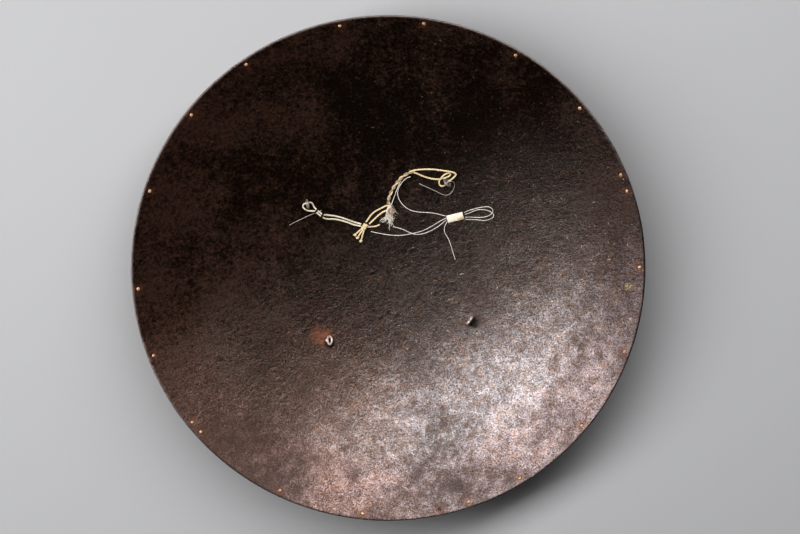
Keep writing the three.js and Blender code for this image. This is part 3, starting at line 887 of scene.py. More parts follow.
class BUCKLER_OT_eyes(bpy.types.Operator):
    """Make the four wire eyes, each with its shank and peened head"""

    bl_idname = "buckler.eyes"
    bl_label = "Grip eyes"

    def execute(self, context):
        metal = eye_metal(context.scene.buckler_fittings)
        # the heads stand flat on the floor, so what their roughness pushes under it is cut off
        deep, wide = -5, 10
        below_floor = turned([(0, deep), (wide, deep), (wide, 0), (0, 0)], 4)
        for corner, (_, _, lean) in EYES.items():
            matrix = eye_frame(corner)
            top, bottom = EYE_WIRE * 1.5, -HEAD_BASE - HEAD_HEIGHT / 2
            profile = [(0, bottom), (SHANK, bottom), (SHANK, top - 0.4 * MM), (SHANK * 0.7, top), (0, top)]
            shank = turned(profile, 20)
            head = roughened(shank_head(28), 3 * MM, 0.12 * MM)
            loop = moved(eye_loop(lean, EYE_STOUTNESS.get(corner, 1.0)), matrix)
            piece = placed(f"grip_eye_{corner}", mesh_of(corner, *loop))
            piece = cut(piece, "UNION", [moved(shank, matrix), moved(head, matrix)])
            piece = cut(piece, "DIFFERENCE", [below_floor], metal)
            carry(piece, "eye_iron", f"eye_{corner}")
        return {"FINISHED"}


class BUCKLER_OT_bosses(bpy.types.Operator):
    """Make the four plain domed bosses on the face"""

    bl_idname = "buckler.bosses"
    bl_label = "Bosses"

    def execute(self, context):
        metal = boss_metal(context.scene.buckler_dish)
        hole = SHANK + CLEARANCE
        start = -SHEET - CLEARANCE

        def dome(radius, height, steps=14):
            angles = [math.pi / 2 * i / steps for i in range(steps + 1)]
            return [(max(hole, radius * math.sin(a)), start - height * math.cos(a)) for a in angles]

        outside = dome(BOSS_RADIUS, BOSS_HEIGHT)
        inside = dome(BOSS_RADIUS - BOSS_WALL, BOSS_HEIGHT - BOSS_WALL)
        for corner in EYES:
            shell = moved(turned([*outside, *reversed(inside)], 72), eye_frame(corner))
            shell = roughened(shell, 11 * MM, 0.22 * MM)
            piece = placed(f"face_boss_{corner}", mesh_of(corner, *shell, metal))
            carry(piece, "boss_iron", f"boss_{corner}")
        return {"FINISHED"}


def rivet_row():
    """One rivet on every point of the row, each turned and sized a little differently."""
    hand, given, result = geometry_tree(
        "Rim Rivets",
        {
            "Geometry": "Geometry", "Rivet": "Object", "Material": "Material",
            "Seed": "Int", "Size Spread": "Float",
        },
    )
    rivet = hand.add("GeometryNodeObjectInfo", {"Object": given["Rivet"]}).outputs["Geometry"]
    facing = hand.add("GeometryNodeInputNamedAttribute", {"Name": "facing"}, data_type="FLOAT_VECTOR")
    upright = hand.add("FunctionNodeAlignRotationToVector", {"Vector": facing.outputs[0]}, axis="Z")

    def drawn(low, high):
        """A random number for each rivet."""
        inputs = {2: low, 3: high, "Seed": given["Seed"]}
        return hand.add("FunctionNodeRandomValue", inputs, data_type="FLOAT").outputs[1]

    turn = hand.add("ShaderNodeCombineXYZ", {2: drawn(0.0, 2 * math.pi)}).outputs[0]
    spin = hand.add("FunctionNodeEulerToRotation", {0: turn}).outputs[0]
    both = {0: upright.outputs[0], 1: spin}
    rotation = hand.add("FunctionNodeRotateRotation", both, rotation_space="LOCAL")
    size = drawn(hand.math("SUBTRACT", 1.0, given["Size Spread"]), 1.0)
    points = hand.add(
        "GeometryNodeInstanceOnPoints",
        {"Points": given["Geometry"], "Instance": rivet, "Rotation": rotation.outputs[0], "Scale": size},
    )
    finish_tree(hand, points.outputs[0], given["Material"], result)
    return hand.tree


class BUCKLER_OT_rivets(bpy.types.Operator):
    """Set the small round-headed rivets just inside the rim, leaving the empty hole"""

    bl_idname = "buckler.rivets"
    bl_label = "Rim rivets"

    def execute(self, context):
        settings = context.scene.buckler_fittings
        head, tall, under = settings.rivet_head, 1.0 * MM, 0.1 * MM
        back = -SHEET - 0.2 * MM
        profile = [
            (0, back - tall * 0.8), (head * 0.5, back - tall * 0.7), (head * 0.9, back - tall * 0.25),
            (head * 0.93, back), (RIVET_SHANK, back), (RIVET_SHANK, under), (head * 0.96, under),
            (head, under + tall * 0.22), (head * 0.86, under + tall * 0.62),
            (head * 0.5, under + tall * 0.92), (0, under + tall),
        ]
        shape = roughened(turned(profile, 18), 1.5 * MM, 0.06 * MM)
        pattern = placed("rivet_pattern", mesh_of("rivet_pattern", *shape))
        frames = [rivet_frame(angle) for angle in rivet_angles()]
        names = [f"rivet_{i + 1:02d}" for i in range(len(frames)) if i != EMPTY_HOLE]
        frames.pop(EMPTY_HOLE)
        row = mesh_of("rivet_places", [f.translation for f in frames], [])
        facing = row.attributes.new("facing", "FLOAT_VECTOR", "POINT")
        facing.data.foreach_set("vector", [c for f in frames for c in f.col[2].to_3d()])
        values = {"Rivet": pattern, "Material": rivet_metal(settings), "Seed": 4, "Size Spread": 0.16}
        rivets = grown("rim_rivets", bpy.data.objects.new("rivet_places", row), rivet_row(), values)
        bpy.data.objects.remove(pattern)
        carry(rivets, "rivet_metal", *names)
        return {"FINISHED"}


# ---------------------------------------------------------------- strings, lines and wires

# Each cord's route: (x, y, height of its middle above the sheet), in millimetres
LEFT_STRING = [
    (-20.3, 35.0, 1.6), (-24.8, 36.8, 1.4), (-28.6, 38.9, 1.4), (-32.2, 41.0, 1.4), (-35.8, 42.8, 1.4),
    (-39.4, 44.3, 1.4), (-43.2, 45.4, 1.4), (-46.8, 46.0, 1.5), (-50.1, 47.4, 2.4), (-52.6, 49.9, 3.75),
    (-54.8, 52.5, 3.75), (-56.35, 54.6, 3.75), (-57.6, 55.8, 3.5), (-60.0, 56.2, 2.4), (-62.8, 56.7, 1.5),
    (-65.3, 58.2, 1.4), (-67.1, 60.5, 1.4), (-66.9, 62.8, 2.0), (-65.4, 64.0, 3.1), (-63.3, 64.4, 4.1),
    (-61.2, 64.5, 4.1), (-59.2, 63.9, 3.3), (-58.2, 62.1, 2.8), (-57.6, 59.7, 2.9), (-55.8, 56.8, 3.75),
    (-53.4, 54.1, 3.75), (-51.2, 51.4, 3.75), (-48.0, 50.2, 2.5), (-44.2, 49.0, 1.6), (-39.8, 47.4, 1.4),
    (-35.5, 45.5, 1.4), (-31.5, 43.3, 1.4), (-27.5, 41.0, 1.4), (-23.7, 38.9, 1.4), (-19.5, 36.9, 1.6),
]
MIDDLE_BIGHT = [
    (-13.7, 38.2, 1.8), (-11.9, 40.1, 1.5), (-9.8, 42.3, 1.4), (-7.4, 44.3, 1.4), (-4.7, 45.9, 1.4),
    (-1.9, 47.0, 1.4), (1.0, 47.9, 1.4), (3.6, 48.9, 1.4), (5.9, 49.6, 1.5), (8.3, 49.3, 1.6),
    (9.2, 47.4, 1.6), (7.8, 45.8, 1.5), (5.1, 45.2, 1.4), (2.4, 44.4, 1.4), (-0.1, 43.2, 1.4),
    (-2.5, 41.8, 1.4), (-4.9, 40.2, 1.4), (-7.4, 38.4, 1.4), (-9.2, 37.1, 1.5), (-10.9, 36.0, 1.7),
]
RIGHT_CORD = [
    (8.2, 52.4, 2.3), (8.8, 54.6, 2.2), (9.8, 57.0, 2.2), (11.0, 59.3, 2.2), (12.4, 61.6, 2.2),
    (14.0, 63.9, 2.2), (15.8, 66.1, 2.2), (17.8, 68.3, 2.2), (19.9, 70.4, 2.2), (22.2, 72.3, 2.2),
    (24.6, 74.0, 2.2), (27.2, 75.3, 2.2), (29.8, 76.3, 2.2), (32.0, 76.9, 2.2), (34.0, 77.2, 2.2),
]
RIGHT_LOOP = [
    (35.6, 78.2, 2.2), (39.8, 78.1, 1.8), (44.2, 77.7, 1.5), (48.4, 77.2, 1.4), (52.6, 76.4, 1.6),
    (56.6, 75.5, 2.2), (60.4, 74.5, 3.0), (63.9, 73.6, 3.5), (67.4, 72.5, 3.6), (70.4, 71.1, 3.2),
    (71.6, 69.2, 2.8), (69.9, 67.2, 2.8), (67.6, 65.7, 3.3), (65.2, 64.4, 3.9), (62.9, 62.9, 4.1),
    (60.7, 61.2, 3.5), (58.4, 60.1, 2.4), (56.3, 61.1, 1.9), (55.6, 63.4, 2.4), (56.4, 65.8, 3.5),
    (58.1, 67.9, 3.6), (60.4, 69.6, 2.6), (63.1, 70.9, 1.6), (65.8, 71.0, 1.4), (67.0, 69.6, 1.4),
    (65.0, 68.2, 1.4), (61.4, 67.2, 1.4), (57.6, 66.8, 1.4), (53.6, 67.1, 1.4), (49.6, 68.2, 1.4),
    (45.9, 69.8, 1.4), (42.3, 71.7, 1.4), (38.9, 73.9, 1.6), (35.9, 75.8, 2.0),
]
UPPER_WIRE = [
    (58.6, 61.2, 6.6), (61.0, 62.0, 6.3), (63.1, 63.1, 6.1), (65.4, 64.2, 6.0), (67.6, 63.8, 5.0),
    (68.9, 61.8, 3.2), (69.0, 59.2, 1.6), (67.9, 56.4, 1.0), (66.0, 53.8, 0.9), (63.4, 51.8, 0.9),
    (60.2, 51.2, 0.9), (56.9, 52.5, 0.9), (53.4, 54.9, 0.9), (49.6, 57.6, 0.9), (45.8, 60.1, 0.9),
    (42.1, 62.4, 0.9), (38.0, 65.2, 0.9),
]
LEFT_WIRE = [
    (-51.6, 55.1, 0.9), (-53.4, 54.1, 0.9), (-55.2, 53.5, 0.9), (-57.0, 53.3, 0.9), (-58.9, 53.2, 0.9),
    (-60.9, 52.8, 0.9), (-62.8, 52.4, 0.9), (-64.6, 52.0, 0.9), (-66.4, 51.5, 0.9), (-68.1, 51.0, 0.9),
    (-69.8, 50.5, 0.9), (-71.5, 50.0, 0.9), (-73.1, 49.6, 0.9), (-74.7, 49.1, 0.9), (-76.3, 48.6, 0.9),
    (-77.8, 48.2, 0.9), (-79.2, 47.7, 0.9), (-80.6, 47.2, 0.9), (-81.9, 46.8, 1.0),
]
ARCHED_LINE = [
    (31.4, 72.6, 0.9), (28.4, 72.0, 0.9), (25.4, 70.4, 0.9), (22.6, 67.9, 0.9), (20.3, 65.1, 0.9),
    (18.6, 62.2, 0.9), (17.7, 59.0, 0.9), (17.8, 55.4, 0.9), (18.8, 51.8, 0.9), (20.6, 48.2, 0.9),
    (23.2, 44.9, 0.9), (26.6, 42.2, 0.9), (30.6, 40.3, 0.9), (35.2, 39.0, 0.9), (40.0, 38.0, 0.9),
    (44.9, 36.9, 0.9), (49.4, 35.4, 0.9), (53.4, 33.7, 1.1), (56.7, 32.5, 1.6),
]
LONG_LINE = [
    (57.0, 30.6, 1.6), (53.8, 29.3, 1.1), (50.2, 27.9, 0.9), (46.4, 26.2, 0.9), (42.4, 24.5, 0.9),
    (38.2, 22.9, 0.9), (33.8, 21.7, 0.9), (29.2, 21.0, 0.9), (24.6, 20.6, 0.9), (20.0, 20.4, 0.9),
    (15.2, 20.5, 0.9), (10.4, 21.1, 0.9), (5.6, 22.2, 0.9), (1.0, 23.6, 0.9), (-3.4, 25.1, 0.9),
    (-7.6, 26.7, 0.9), (-11.4, 28.3, 0.9),
]
SHORT_LINE = [
    (57.1, 29.0, 1.6), (54.6, 27.2, 1.1), (51.4, 25.2, 0.9), (47.8, 23.2, 0.9), (43.8, 21.5, 0.9),
    (39.6, 20.1, 0.9), (35.2, 19.2, 1.0), (31.0, 19.1, 1.4), (27.2, 19.9, 2.1), (23.8, 21.5, 2.1),
    (20.8, 23.4, 1.4), (17.8, 25.3, 1.0), (14.6, 27.0, 0.9), (11.6, 28.4, 0.9), (8.8, 29.5, 0.9),
]
LONG_TURN = [
    (73.7, 33.3, 1.6), (77.5, 34.5, 1.1), (80.8, 35.1, 0.9), (84.1, 35.5, 0.9), (87.5, 36.0, 0.9),
    (91.1, 36.1, 0.9), (94.3, 36.1, 0.9), (96.8, 35.2, 0.9), (98.5, 33.8, 0.9), (99.2, 31.7, 0.9),
    (98.2, 29.7, 0.9), (95.9, 28.1, 0.9), (92.8, 27.1, 0.9), (89.4, 26.9, 0.9), (86.0, 27.1, 0.9),
    (82.6, 27.6, 0.9), (78.6, 28.4, 1.0), (73.9, 29.0, 1.6),
]
SHORT_TURN = [
    (73.9, 31.6, 1.6), (77.9, 32.2, 1.0), (81.2, 33.2, 0.9), (84.4, 34.0, 0.9), (87.6, 34.2, 0.9),
    (90.8, 33.7, 0.9), (93.8, 32.8, 0.9), (96.4, 31.5, 1.7), (98.4, 29.9, 1.9), (99.4, 27.9, 1.2),
    (98.6, 25.8, 0.9), (96.1, 24.6, 0.9), (93.2, 23.9, 0.9), (90.2, 23.7, 0.9), (87.3, 24.4, 0.9),
    (84.2, 25.2, 0.9), (80.9, 25.8, 0.9), (77.4, 26.4, 1.0), (74.0, 27.0, 1.6),
]
WHITE_THREAD = [
    (57.2, 27.2, 1.5), (56.2, 25.3, 1.1), (54.8, 23.2, 0.9), (53.9, 20.8, 0.9), (53.7, 18.4, 0.9),
    (54.2, 15.9, 0.9), (55.3, 13.2, 0.9), (56.4, 10.5, 0.9), (57.0, 7.7, 0.9), (57.4, 4.8, 0.9),
    (57.8, 1.9, 0.9), (58.3, -1.2, 0.9), (58.7, -4.0, 0.9), (59.0, -6.1, 0.9), (59.3, -8.2, 0.9),
]


def between(t, start, end, low, high):
    """Where t falls on the straight way from start, at low, to end, at high."""
    return ((high - t) * start + (t - low) * end) / (high - low)


def smooth_route(route, step=0.5 * MM):
    """Evenly spaced points on the smooth curve through a route, as an array."""
    through = np.array([on_sheet(*point) for point in route])
    through = np.vstack([2 * through[0] - through[1], through, 2 * through[-1] - through[-2]])
    out = []
    for p in (through[i : i + 4] for i in range(len(through) - 3)):
        # a centripetal Catmull-Rom curve, from the second of four points to the third
        knots = np.cumsum([0, *(np.linalg.norm(p[k + 1] - p[k]) ** 0.5 for k in range(3))])
        t = np.linspace(knots[1], knots[2], 16, endpoint=False)[:, None]
        a = [between(t, p[k], p[k + 1], knots[k], knots[k + 1]) for k in range(3)]
        b = [between(t, a[k], a[k + 1], knots[k], knots[k + 2]) for k in range(2)]
        out.append(between(t, b[0], b[1], knots[1], knots[2]))
    return evenly(np.vstack([*out, through[-2]]), step)


def evenly(line, step):
    along = np.concatenate([[0], np.cumsum(np.linalg.norm(np.diff(line, axis=0), axis=1))])
    at = np.linspace(0, along[-1], max(2, math.ceil(along[-1] / step) + 1))
    return np.stack([np.interp(at, along, line[:, k]) for k in range(3)], axis=1)


def run_on(line, before=0.0, after=0.0):
    """The line made longer at its ends, straight on."""
    at_start, at_end = line[1] - line[0], line[-1] - line[-2]
    first = line[0] - at_start / np.linalg.norm(at_start) * before
    last = line[-1] + at_end / np.linalg.norm(at_end) * after
    parts = ([first[None]] if before else []) + [line] + ([last[None]] if after else [])
    return np.vstack(parts)


def lay_group():
    """A node group that winds copies of a curve about it, as strands are laid into a string."""
    tree = bpy.data.node_groups.new("Lay Strands", "GeometryNodeTree")
    tree.interface.new_socket("Curve", in_out="OUTPUT", socket_type="NodeSocketGeometry")
    tree.interface.new_socket("Strand", in_out="OUTPUT", socket_type="NodeSocketFloat")
    kinds = {"Curve": "Geometry", "Strands": "Int", "Lay Radius": "Float", "Pitch": "Float"}
    for socket, kind in kinds.items():
        tree.interface.new_socket(socket, in_out="INPUT", socket_type=f"NodeSocket{kind}")
    hand = Tree(tree)
    given = hand.add("NodeGroupInput").outputs
    amount = {0: given["Curve"], "Amount": given["Strands"]}
    copies = hand.add("GeometryNodeDuplicateElements", amount, domain="SPLINE")
    index = hand.math("DIVIDE", copies.outputs["Duplicate Index"], given["Strands"])
    length = hand.add("GeometryNodeSplineParameter").outputs["Length"]
    turns = hand.total(hand.math("DIVIDE", length, given["Pitch"]), index)
    angle = hand.product(turns, 2 * math.pi)
    normal = hand.add("GeometryNodeInputNormal").outputs[0]
    tangent = hand.add("GeometryNodeInputTangent").outputs[0]
    binormal = hand.vector("CROSS_PRODUCT", tangent, normal)
    side = hand.vector("SCALE", normal, scale=hand.math("COSINE", angle))
    up = hand.vector("SCALE", binormal, scale=hand.math("SINE", angle))
    offset = hand.vector("SCALE", hand.vector("ADD", side, up), scale=given["Lay Radius"])
    wound = hand.add("GeometryNodeSetPosition", {"Geometry": copies.outputs[0], "Offset": offset})
    result = hand.add("NodeGroupOutput")
    tree.links.new(wound.outputs[0], result.inputs[0])
    tree.links.new(index, result.inputs[1])
    return tree


def string_tree():
    """Strings laid together, each laid from plies, along the edges of a mesh."""
    hand, given, result = geometry_tree(
        "Laid String",
        {
            "Geometry": "Geometry", "Material": "Material", "Strings": "Int", "String Lay": "Float",
            "String Pitch": "Float", "Plies": "Int", "Ply Lay": "Float", "Ply Pitch": "Float",
            "Ply Radius": "Float", "Sides": "Int",
        },
    )

    def noted(geometry, name, value):
        """The geometry with a number stored on its points, for the fibre to read."""
        inputs = {"Geometry": geometry, "Name": name, "Value": value}
        return hand.add("GeometryNodeStoreNamedAttribute", inputs, data_type="FLOAT").outputs[0]

    lay = lay_group()
    curve = hand.add("GeometryNodeMeshToCurve", {0: given["Geometry"]}).outputs[0]
    for count, radius, pitch in (
        ("Strings", "String Lay", "String Pitch"),
        ("Plies", "Ply Lay", "Ply Pitch"),
    ):
        wound = hand.add("GeometryNodeGroup", node_tree=lay)
        hand.tree.links.new(curve, wound.inputs["Curve"])
        for socket, name in (("Strands", count), ("Lay Radius", radius), ("Pitch", pitch)):
            hand.tree.links.new(given[name], wound.inputs[socket])
        curve = noted(wound.outputs[0], count.lower(), wound.outputs["Strand"])
    curve = noted(curve, "along", hand.add("GeometryNodeSplineParameter").outputs["Length"])
    ring = {"Resolution": given["Sides"], "Radius": given["Ply Radius"]}
    ring = hand.add("GeometryNodeCurvePrimitiveCircle", ring).outputs[0]
    ring = noted(ring, "around", hand.add("GeometryNodeSplineParameter").outputs["Factor"])
    skin = hand.add("GeometryNodeCurveToMesh", {"Curve": curve, "Profile Curve": ring, "Fill Caps": True})
    finish_tree(hand, skin.outputs[0], given["Material"], result)
    return hand.tree


def string_mesh(name, lines, paint, diameter, plies, strings=1, pitch=None, sides=7):
    """One piece of string, or of strings plied together, along each line."""
    tree = bpy.data.node_groups.get("Laid String") or string_tree()
    points, edges = [], []
    for line in lines:
        edges += [(len(points) + i, len(points) + i + 1) for i in range(len(line) - 1)]
        points += [tuple(p) for p in line]
    source = bpy.data.objects.new(name, mesh_of(name, points, [], edges=edges))
    string = diameter / (2 if strings == 2 else 1)
    ply = string / 2 * {1: 1.0, 2: 0.56, 3: 0.50}[plies]
    values = {
        "Material": paint,
        "Strings": strings,
        "String Lay": string / 2 if strings > 1 else 0.0,
        "String Pitch": pitch or 1.0,
        "Plies": plies,
        "Ply Lay": string / 2 - ply if plies > 1 else 0.0,
        "Ply Pitch": string * 3.2,
        "Ply Radius": ply,
        "Sides": sides,
    }
    return grown(name, source, tree, values)


def fibre_paint(name, colour, dark, roughness, stain=0.2):
    """Twisted fibre: fine stripes that follow the twist, with grimy patches and painted shade in the grooves.
    """

    def build(tree, shader):
        place = tree.add("ShaderNodeTexCoord").outputs["Object"]
        along, around, second = (tree.attribute(name) for name in ("along", "around", "strings"))
        twist = tree.total(tree.product(around, 2.0), tree.math("DIVIDE", along, 3 * MM))
        stripe = tree.product(tree.math("FRACT", twist), 2.0)
        stripe = tree.math("ABSOLUTE", tree.math("SUBTRACT", stripe, 1.0))
        dark_patch = tree.noise(place, 9 * MM, detail=4.0, roughness=0.6)
        fuzz = tree.noise(place, 0.5 * MM, detail=2.0)
        tone = tree.blend(tree.product(second, 1.3), rgba(colour), rgba(dark, 0.8))
        tone = tree.blend(tree.spread(dark_patch, 0.40, 0.72, 0.0, stain), tone, rgba(dark))
        groove = tree.product(tree.total(stripe, fuzz), 0.5)
        # painted shade: the grooves of the twist darkened towards the dark colour
        tone = tree.blend(tree.spread(groove, 0.18, 0.45), tree.blend(0.7, tone, rgba(dark)), tone)
        feed(tree, shader, "Base Color", tone)
        shader.inputs["Roughness"].default_value = roughness
        shader.inputs["Specular IOR Level"].default_value = 0.25
        bump(tree, shader, groove, 0.15 * MM, 0.6)

    return material(name, build)


def wire_paint():
    """Thin dull wire, dark in patches."""

    def build(tree, shader):
        place = tree.add("ShaderNodeTexCoord").outputs["Object"]
        patch = tree.noise(place, 4 * MM, detail=4.0)
        colour = tree.blend(patch, (0.26, 0.22, 0.20, 1.0), (0.86, 0.78, 0.73, 1.0))
        feed(tree, shader, "Base Color", colour)
        shader.inputs["Metallic"].default_value = 0.45
        feed(tree, shader, "Roughness", tree.lerp(patch, 0.55, 0.3))

    return material("thin_wire", build)


LOOKS = {
    "golden_string": lambda look: fibre_paint("golden_string", look.cotton, (0.50, 0.27, 0.09), 0.85),
    "pale_string": lambda look: fibre_paint("pale_string", look.pale_cotton, (0.46, 0.32, 0.16), 0.85),
    "plied_cord": lambda look: fibre_paint("plied_cord", look.cotton, (0.34, 0.21, 0.12), 0.85),
    "grey_line": lambda look: fibre_paint("grey_line", look.line_colour, (0.22, 0.19, 0.17), 0.5, 0.45),
    "white_cotton": lambda look: fibre_paint("white_cotton", (1.0, 0.93, 0.87), (0.42, 0.33, 0.25), 0.8),
    "black_thread": lambda look: fibre_paint(
        "black_thread", (0.022, 0.018, 0.016), (0.01, 0.009, 0.008), 0.6
    ),
    "thin_wire": lambda look: wire_paint(),
}


def paint(settings, name):
    """One of the hanger's finishes, made the first time that it is asked for."""
    return bpy.data.materials.get(name) or LOOKS[name](settings)


class BUCKLER_OT_strings(bpy.types.Operator):
    """Lay the string, the plied cord and the loop that goes through the upper right eye"""

    bl_idname = "buckler.strings"
    bl_label = "Strings"

    def execute(self, context):
        settings = context.scene.buckler_hanger
        knot, ties = "hanger_knot", ["tie_outer_wraps", "tie_inner_wraps"]
        for name, route, look, nodes_on, far_end in (
            ("left_string", LEFT_STRING, "pale_string", ties, "knot"),
            ("middle_bight", MIDDLE_BIGHT, "golden_string", [knot], "knot"),
            ("right_loop", RIGHT_LOOP, "golden_string", [], "object"),
        ):
            ends = {"before": 0.8 * MM, "after": 0.8 * MM}
            line = run_on(smooth_route(route), **ends)
            piece = string_mesh(f"{name}_laid", [line], paint(settings, look), settings.string, 3)
            carry(piece, "cotton_string", name)
        line = run_on(smooth_route(RIGHT_CORD), before=1.2 * MM, after=1.6 * MM)
        look = paint(settings, "plied_cord")
        cord = string_mesh("right_cord_plied", [line], look, settings.plied_cord, 3, strings=2, pitch=11 * MM)
        carry(cord, "cotton_string", "right_cord")
        return {"FINISHED"}


class BUCKLER_OT_lines(bpy.types.Operator):
    """Lay the fine lines, the white thread and the two thin wires"""

    bl_idname = "buckler.lines"
    bl_label = "Lines and wires"

    def execute(self, context):
        settings = context.scene.buckler_hanger
        thin, wire, white = (paint(settings, name) for name in ("grey_line", "thin_wire", "white_cotton"))
        for name, route, look, slot, diameter, far_end, stiffness in (
            ("arched_line", ARCHED_LINE, white, "fine_line", settings.line, "object", "limp"),
            ("long_line", LONG_LINE, thin, "fine_line", settings.line, "bare", "limp"),
            ("short_line", SHORT_LINE, thin, "fine_line", settings.line, "bare", "limp"),
            ("long_turn", LONG_TURN, thin, "fine_line", settings.line, "object", "limp"),
            ("short_turn", SHORT_TURN, thin, "fine_line", settings.line, "object", "limp"),
            ("white_thread", WHITE_THREAD, white, "cotton_string", settings.line, "bare", "limp"),
            ("upper_wire", UPPER_WIRE, wire, "grey_wire", settings.wire, "bare", "stiff"),
            ("left_wire", LEFT_WIRE, wire, "grey_wire", settings.wire, "bare", "stiff"),
        ):
            line = smooth_route(route, 0.4 * MM)
            plies = 2 if name == "white_thread" else 1
            piece = string_mesh(f"{name}_laid", [line], look, diameter, plies, sides=6)
            carry(piece, slot, name)
        return {"FINISHED"}


# ---------------------------------------------------------------- knot, tuft, ties and tape

KNOT_PLACE = (-15.8, 34.2)
KNOT_LIFT = 2.9
KNOT_TAILS = [
    [(-17.4, 33.2, 2.6), (-20.6, 31.4, 2.0), (-25.9, 27.6, 1.9)],
    [(-17.0, 32.4, 2.9), (-20.2, 29.2, 2.0), (-24.0, 24.6, 1.9)],
    [(-16.4, 32.0, 2.6), (-18.6, 27.6, 2.0), (-21.5, 21.2, 1.9)],
]
KNOT_ARM = [(-14.0, 33.4, 2.4), (-10.6, 32.7, 1.7), (-6.2, 32.4, 1.5), (-2.6, 33.3, 1.4)]
TIES = {"outer": ((-56.0, 55.95), 3.75, 127), "inner": ((-51.8, 50.6), 3.75, 140)}


def wound_line(centre, axis, radii, turns, pitch, points=26):
    """A helix about an axis near a centre, its section an ellipse lying on the sheet."""
    axis = np.array(axis, float) / np.linalg.norm(axis)
    flat = np.cross((0, 0, 1), axis)
    flat /= np.linalg.norm(flat)
    up = np.cross(axis, flat)
    steps = np.linspace(0, turns, max(3, int(points * turns)))
    angle = 2 * np.pi * steps[:, None]
    wide, tall = radii if np.ndim(radii) else (radii, radii)
    path = flat * np.cos(angle) * wide + up * np.sin(angle) * tall
    return centre + path + axis * ((steps - turns / 2) * pitch)[:, None]


def small_knot(line, size):
    """A tight overhand bead on the end of a line, as two more lines."""
    ahead = line[-1] - line[-6]
    return [
        wound_line(line[-1], ahead, size, 1.6, size * 0.9),
        wound_line(line[-1], ahead + np.array([ahead[1], -ahead[0], 0]), size * 0.72, 1.2, size * 0.7),
    ]


class BUCKLER_OT_knot(bpy.types.Operator):
    """Tie the knot where the strings meet, with its three short knotted tails"""

    bl_idname = "buckler.knot"
    bl_label = "Knot"

    def execute(self, context):
        settings = context.scene.buckler_hanger
        cotton = paint(settings, "golden_string")
        centre = on_sheet(*KNOT_PLACE, KNOT_LIFT)
        tails = [smooth_route(tail, 0.4 * MM) for tail in KNOT_TAILS]
        lines = [*tails, smooth_route(KNOT_ARM, 0.4 * MM)]
        lines.append(wound_line(centre, (0.75, 0.66, 0.0), (1.85 * MM, 1.45 * MM), 2.6, 1.75 * MM))
        lines.append(wound_line(centre, (1.0, -0.35, 0.1), (1.9 * MM, 1.3 * MM), 1.3, 1.9 * MM))
        for tail in tails:
            lines += small_knot(tail, 0.75 * MM)
        piece = string_mesh("hanger_knot", lines, cotton, settings.string * 0.94, 3)
        carry(piece, "cotton_string", "knot")
        return {"FINISHED"}


class BUCKLER_OT_ties(bpy.types.Operator):
    """Wrap the two dark thread ties round the left string"""

    bl_idname = "buckler.ties"
    bl_label = "Ties"

    def execute(self, context):
        thread = paint(context.scene.buckler_hanger, "black_thread")
        for name, (place, lift, heading) in TIES.items():
            turn = math.radians(heading)
            axis = (math.cos(turn), math.sin(turn), 0.0)
            centre = on_sheet(*place, lift)
            wraps = wound_line(centre, axis, (2.2 * MM, 1.15 * MM), 4.0, 0.42 * MM, 30)
            out = np.cross((0, 0, 1), axis)
            end = wraps[-1] + np.array([out * i * 0.35 * MM + (0, 0, -0.09 * MM * i) for i in range(1, 9)])
            line = np.vstack([wraps, end])
            piece = string_mesh(f"tie_{name}_wraps", [line], thread, 0.5 * MM, 2, sides=6)
            carry(piece, "dark_thread", f"tie_{name}")
        return {"FINISHED"}


# The frayed end, in millimetres. A lock is its middle line, how far its fibres stray from that, their
# number, and how brown they are. The curl is its middle, its radius and its number of fibres
LOOSE_PLY = [
    (22.3, 70.4, 1.6), (20.4, 67.3, 1.3), (18.5, 64.4, 3.4), (16.8, 61.4, 3.4), (15.2, 58.2, 1.2),
    (13.6, 55.3, 0.9), (12.1, 52.5, 0.9), (10.6, 49.9, 1.2),
]
LOCKS = [
    (
        [(9.6, 50.6, 2.0), (8.6, 47.2, 2.2), (7.6, 43.4, 2.0),
         (5.9, 39.8, 1.6), (3.4, 37.4, 1.3), (-1.6, 36.2, 0.8)],
        1.4, 18, 0.0,
    ),
    (
        [(8.2, 50.2, 1.8), (7.4, 46.4, 1.9), (7.5, 42.0, 1.6),
         (8.6, 38.0, 1.3), (8.2, 34.2, 1.1), (6.2, 31.0, 0.9)],
        1.7, 12, 0.1,
    ),
    (
        [(9.0, 49.0, 1.8), (6.4, 45.4, 2.2), (5.0, 41.4, 2.4),
         (6.0, 36.4, 1.6), (8.6, 32.2, 1.0), (7.1, 28.7, 0.8)],
        1.1, 7, 0.0,
    ),
    ([(9.4, 50.0, 2.4), (10.6, 46.0, 2.0), (12.0, 42.4, 1.4), (13.7, 38.8, 0.8)], 1.7, 8, 0.4),
    ([(8.4, 47.0, 1.8), (8.0, 40.0, 1.4), (6.4, 33.0, 1.0), (4.9, 26.6, 0.7)], 1.7, 7, 0.2),
]
CURL = ((9.6, 44.3), 2.5, 12)


def wiggled(line, reach, draw, bends=9, width=9):
    """The line with a smooth random wander of about the reach to each side, growing from its start."""
    place = np.arange(len(line))
    knots = np.linspace(0, len(line) - 1, bends)
    growth = np.linspace(0.35, 1, bends)
    sway = [np.interp(place, knots, draw.normal(0, reach, bends) * growth) for _ in range(3)]
    smooth = np.ones(width) / width
    sway = np.stack([np.convolve(np.pad(v, width // 2, "edge"), smooth, "valid") for v in sway], axis=1)
    return line + sway * np.array([1.0, 1.0, 0.35])


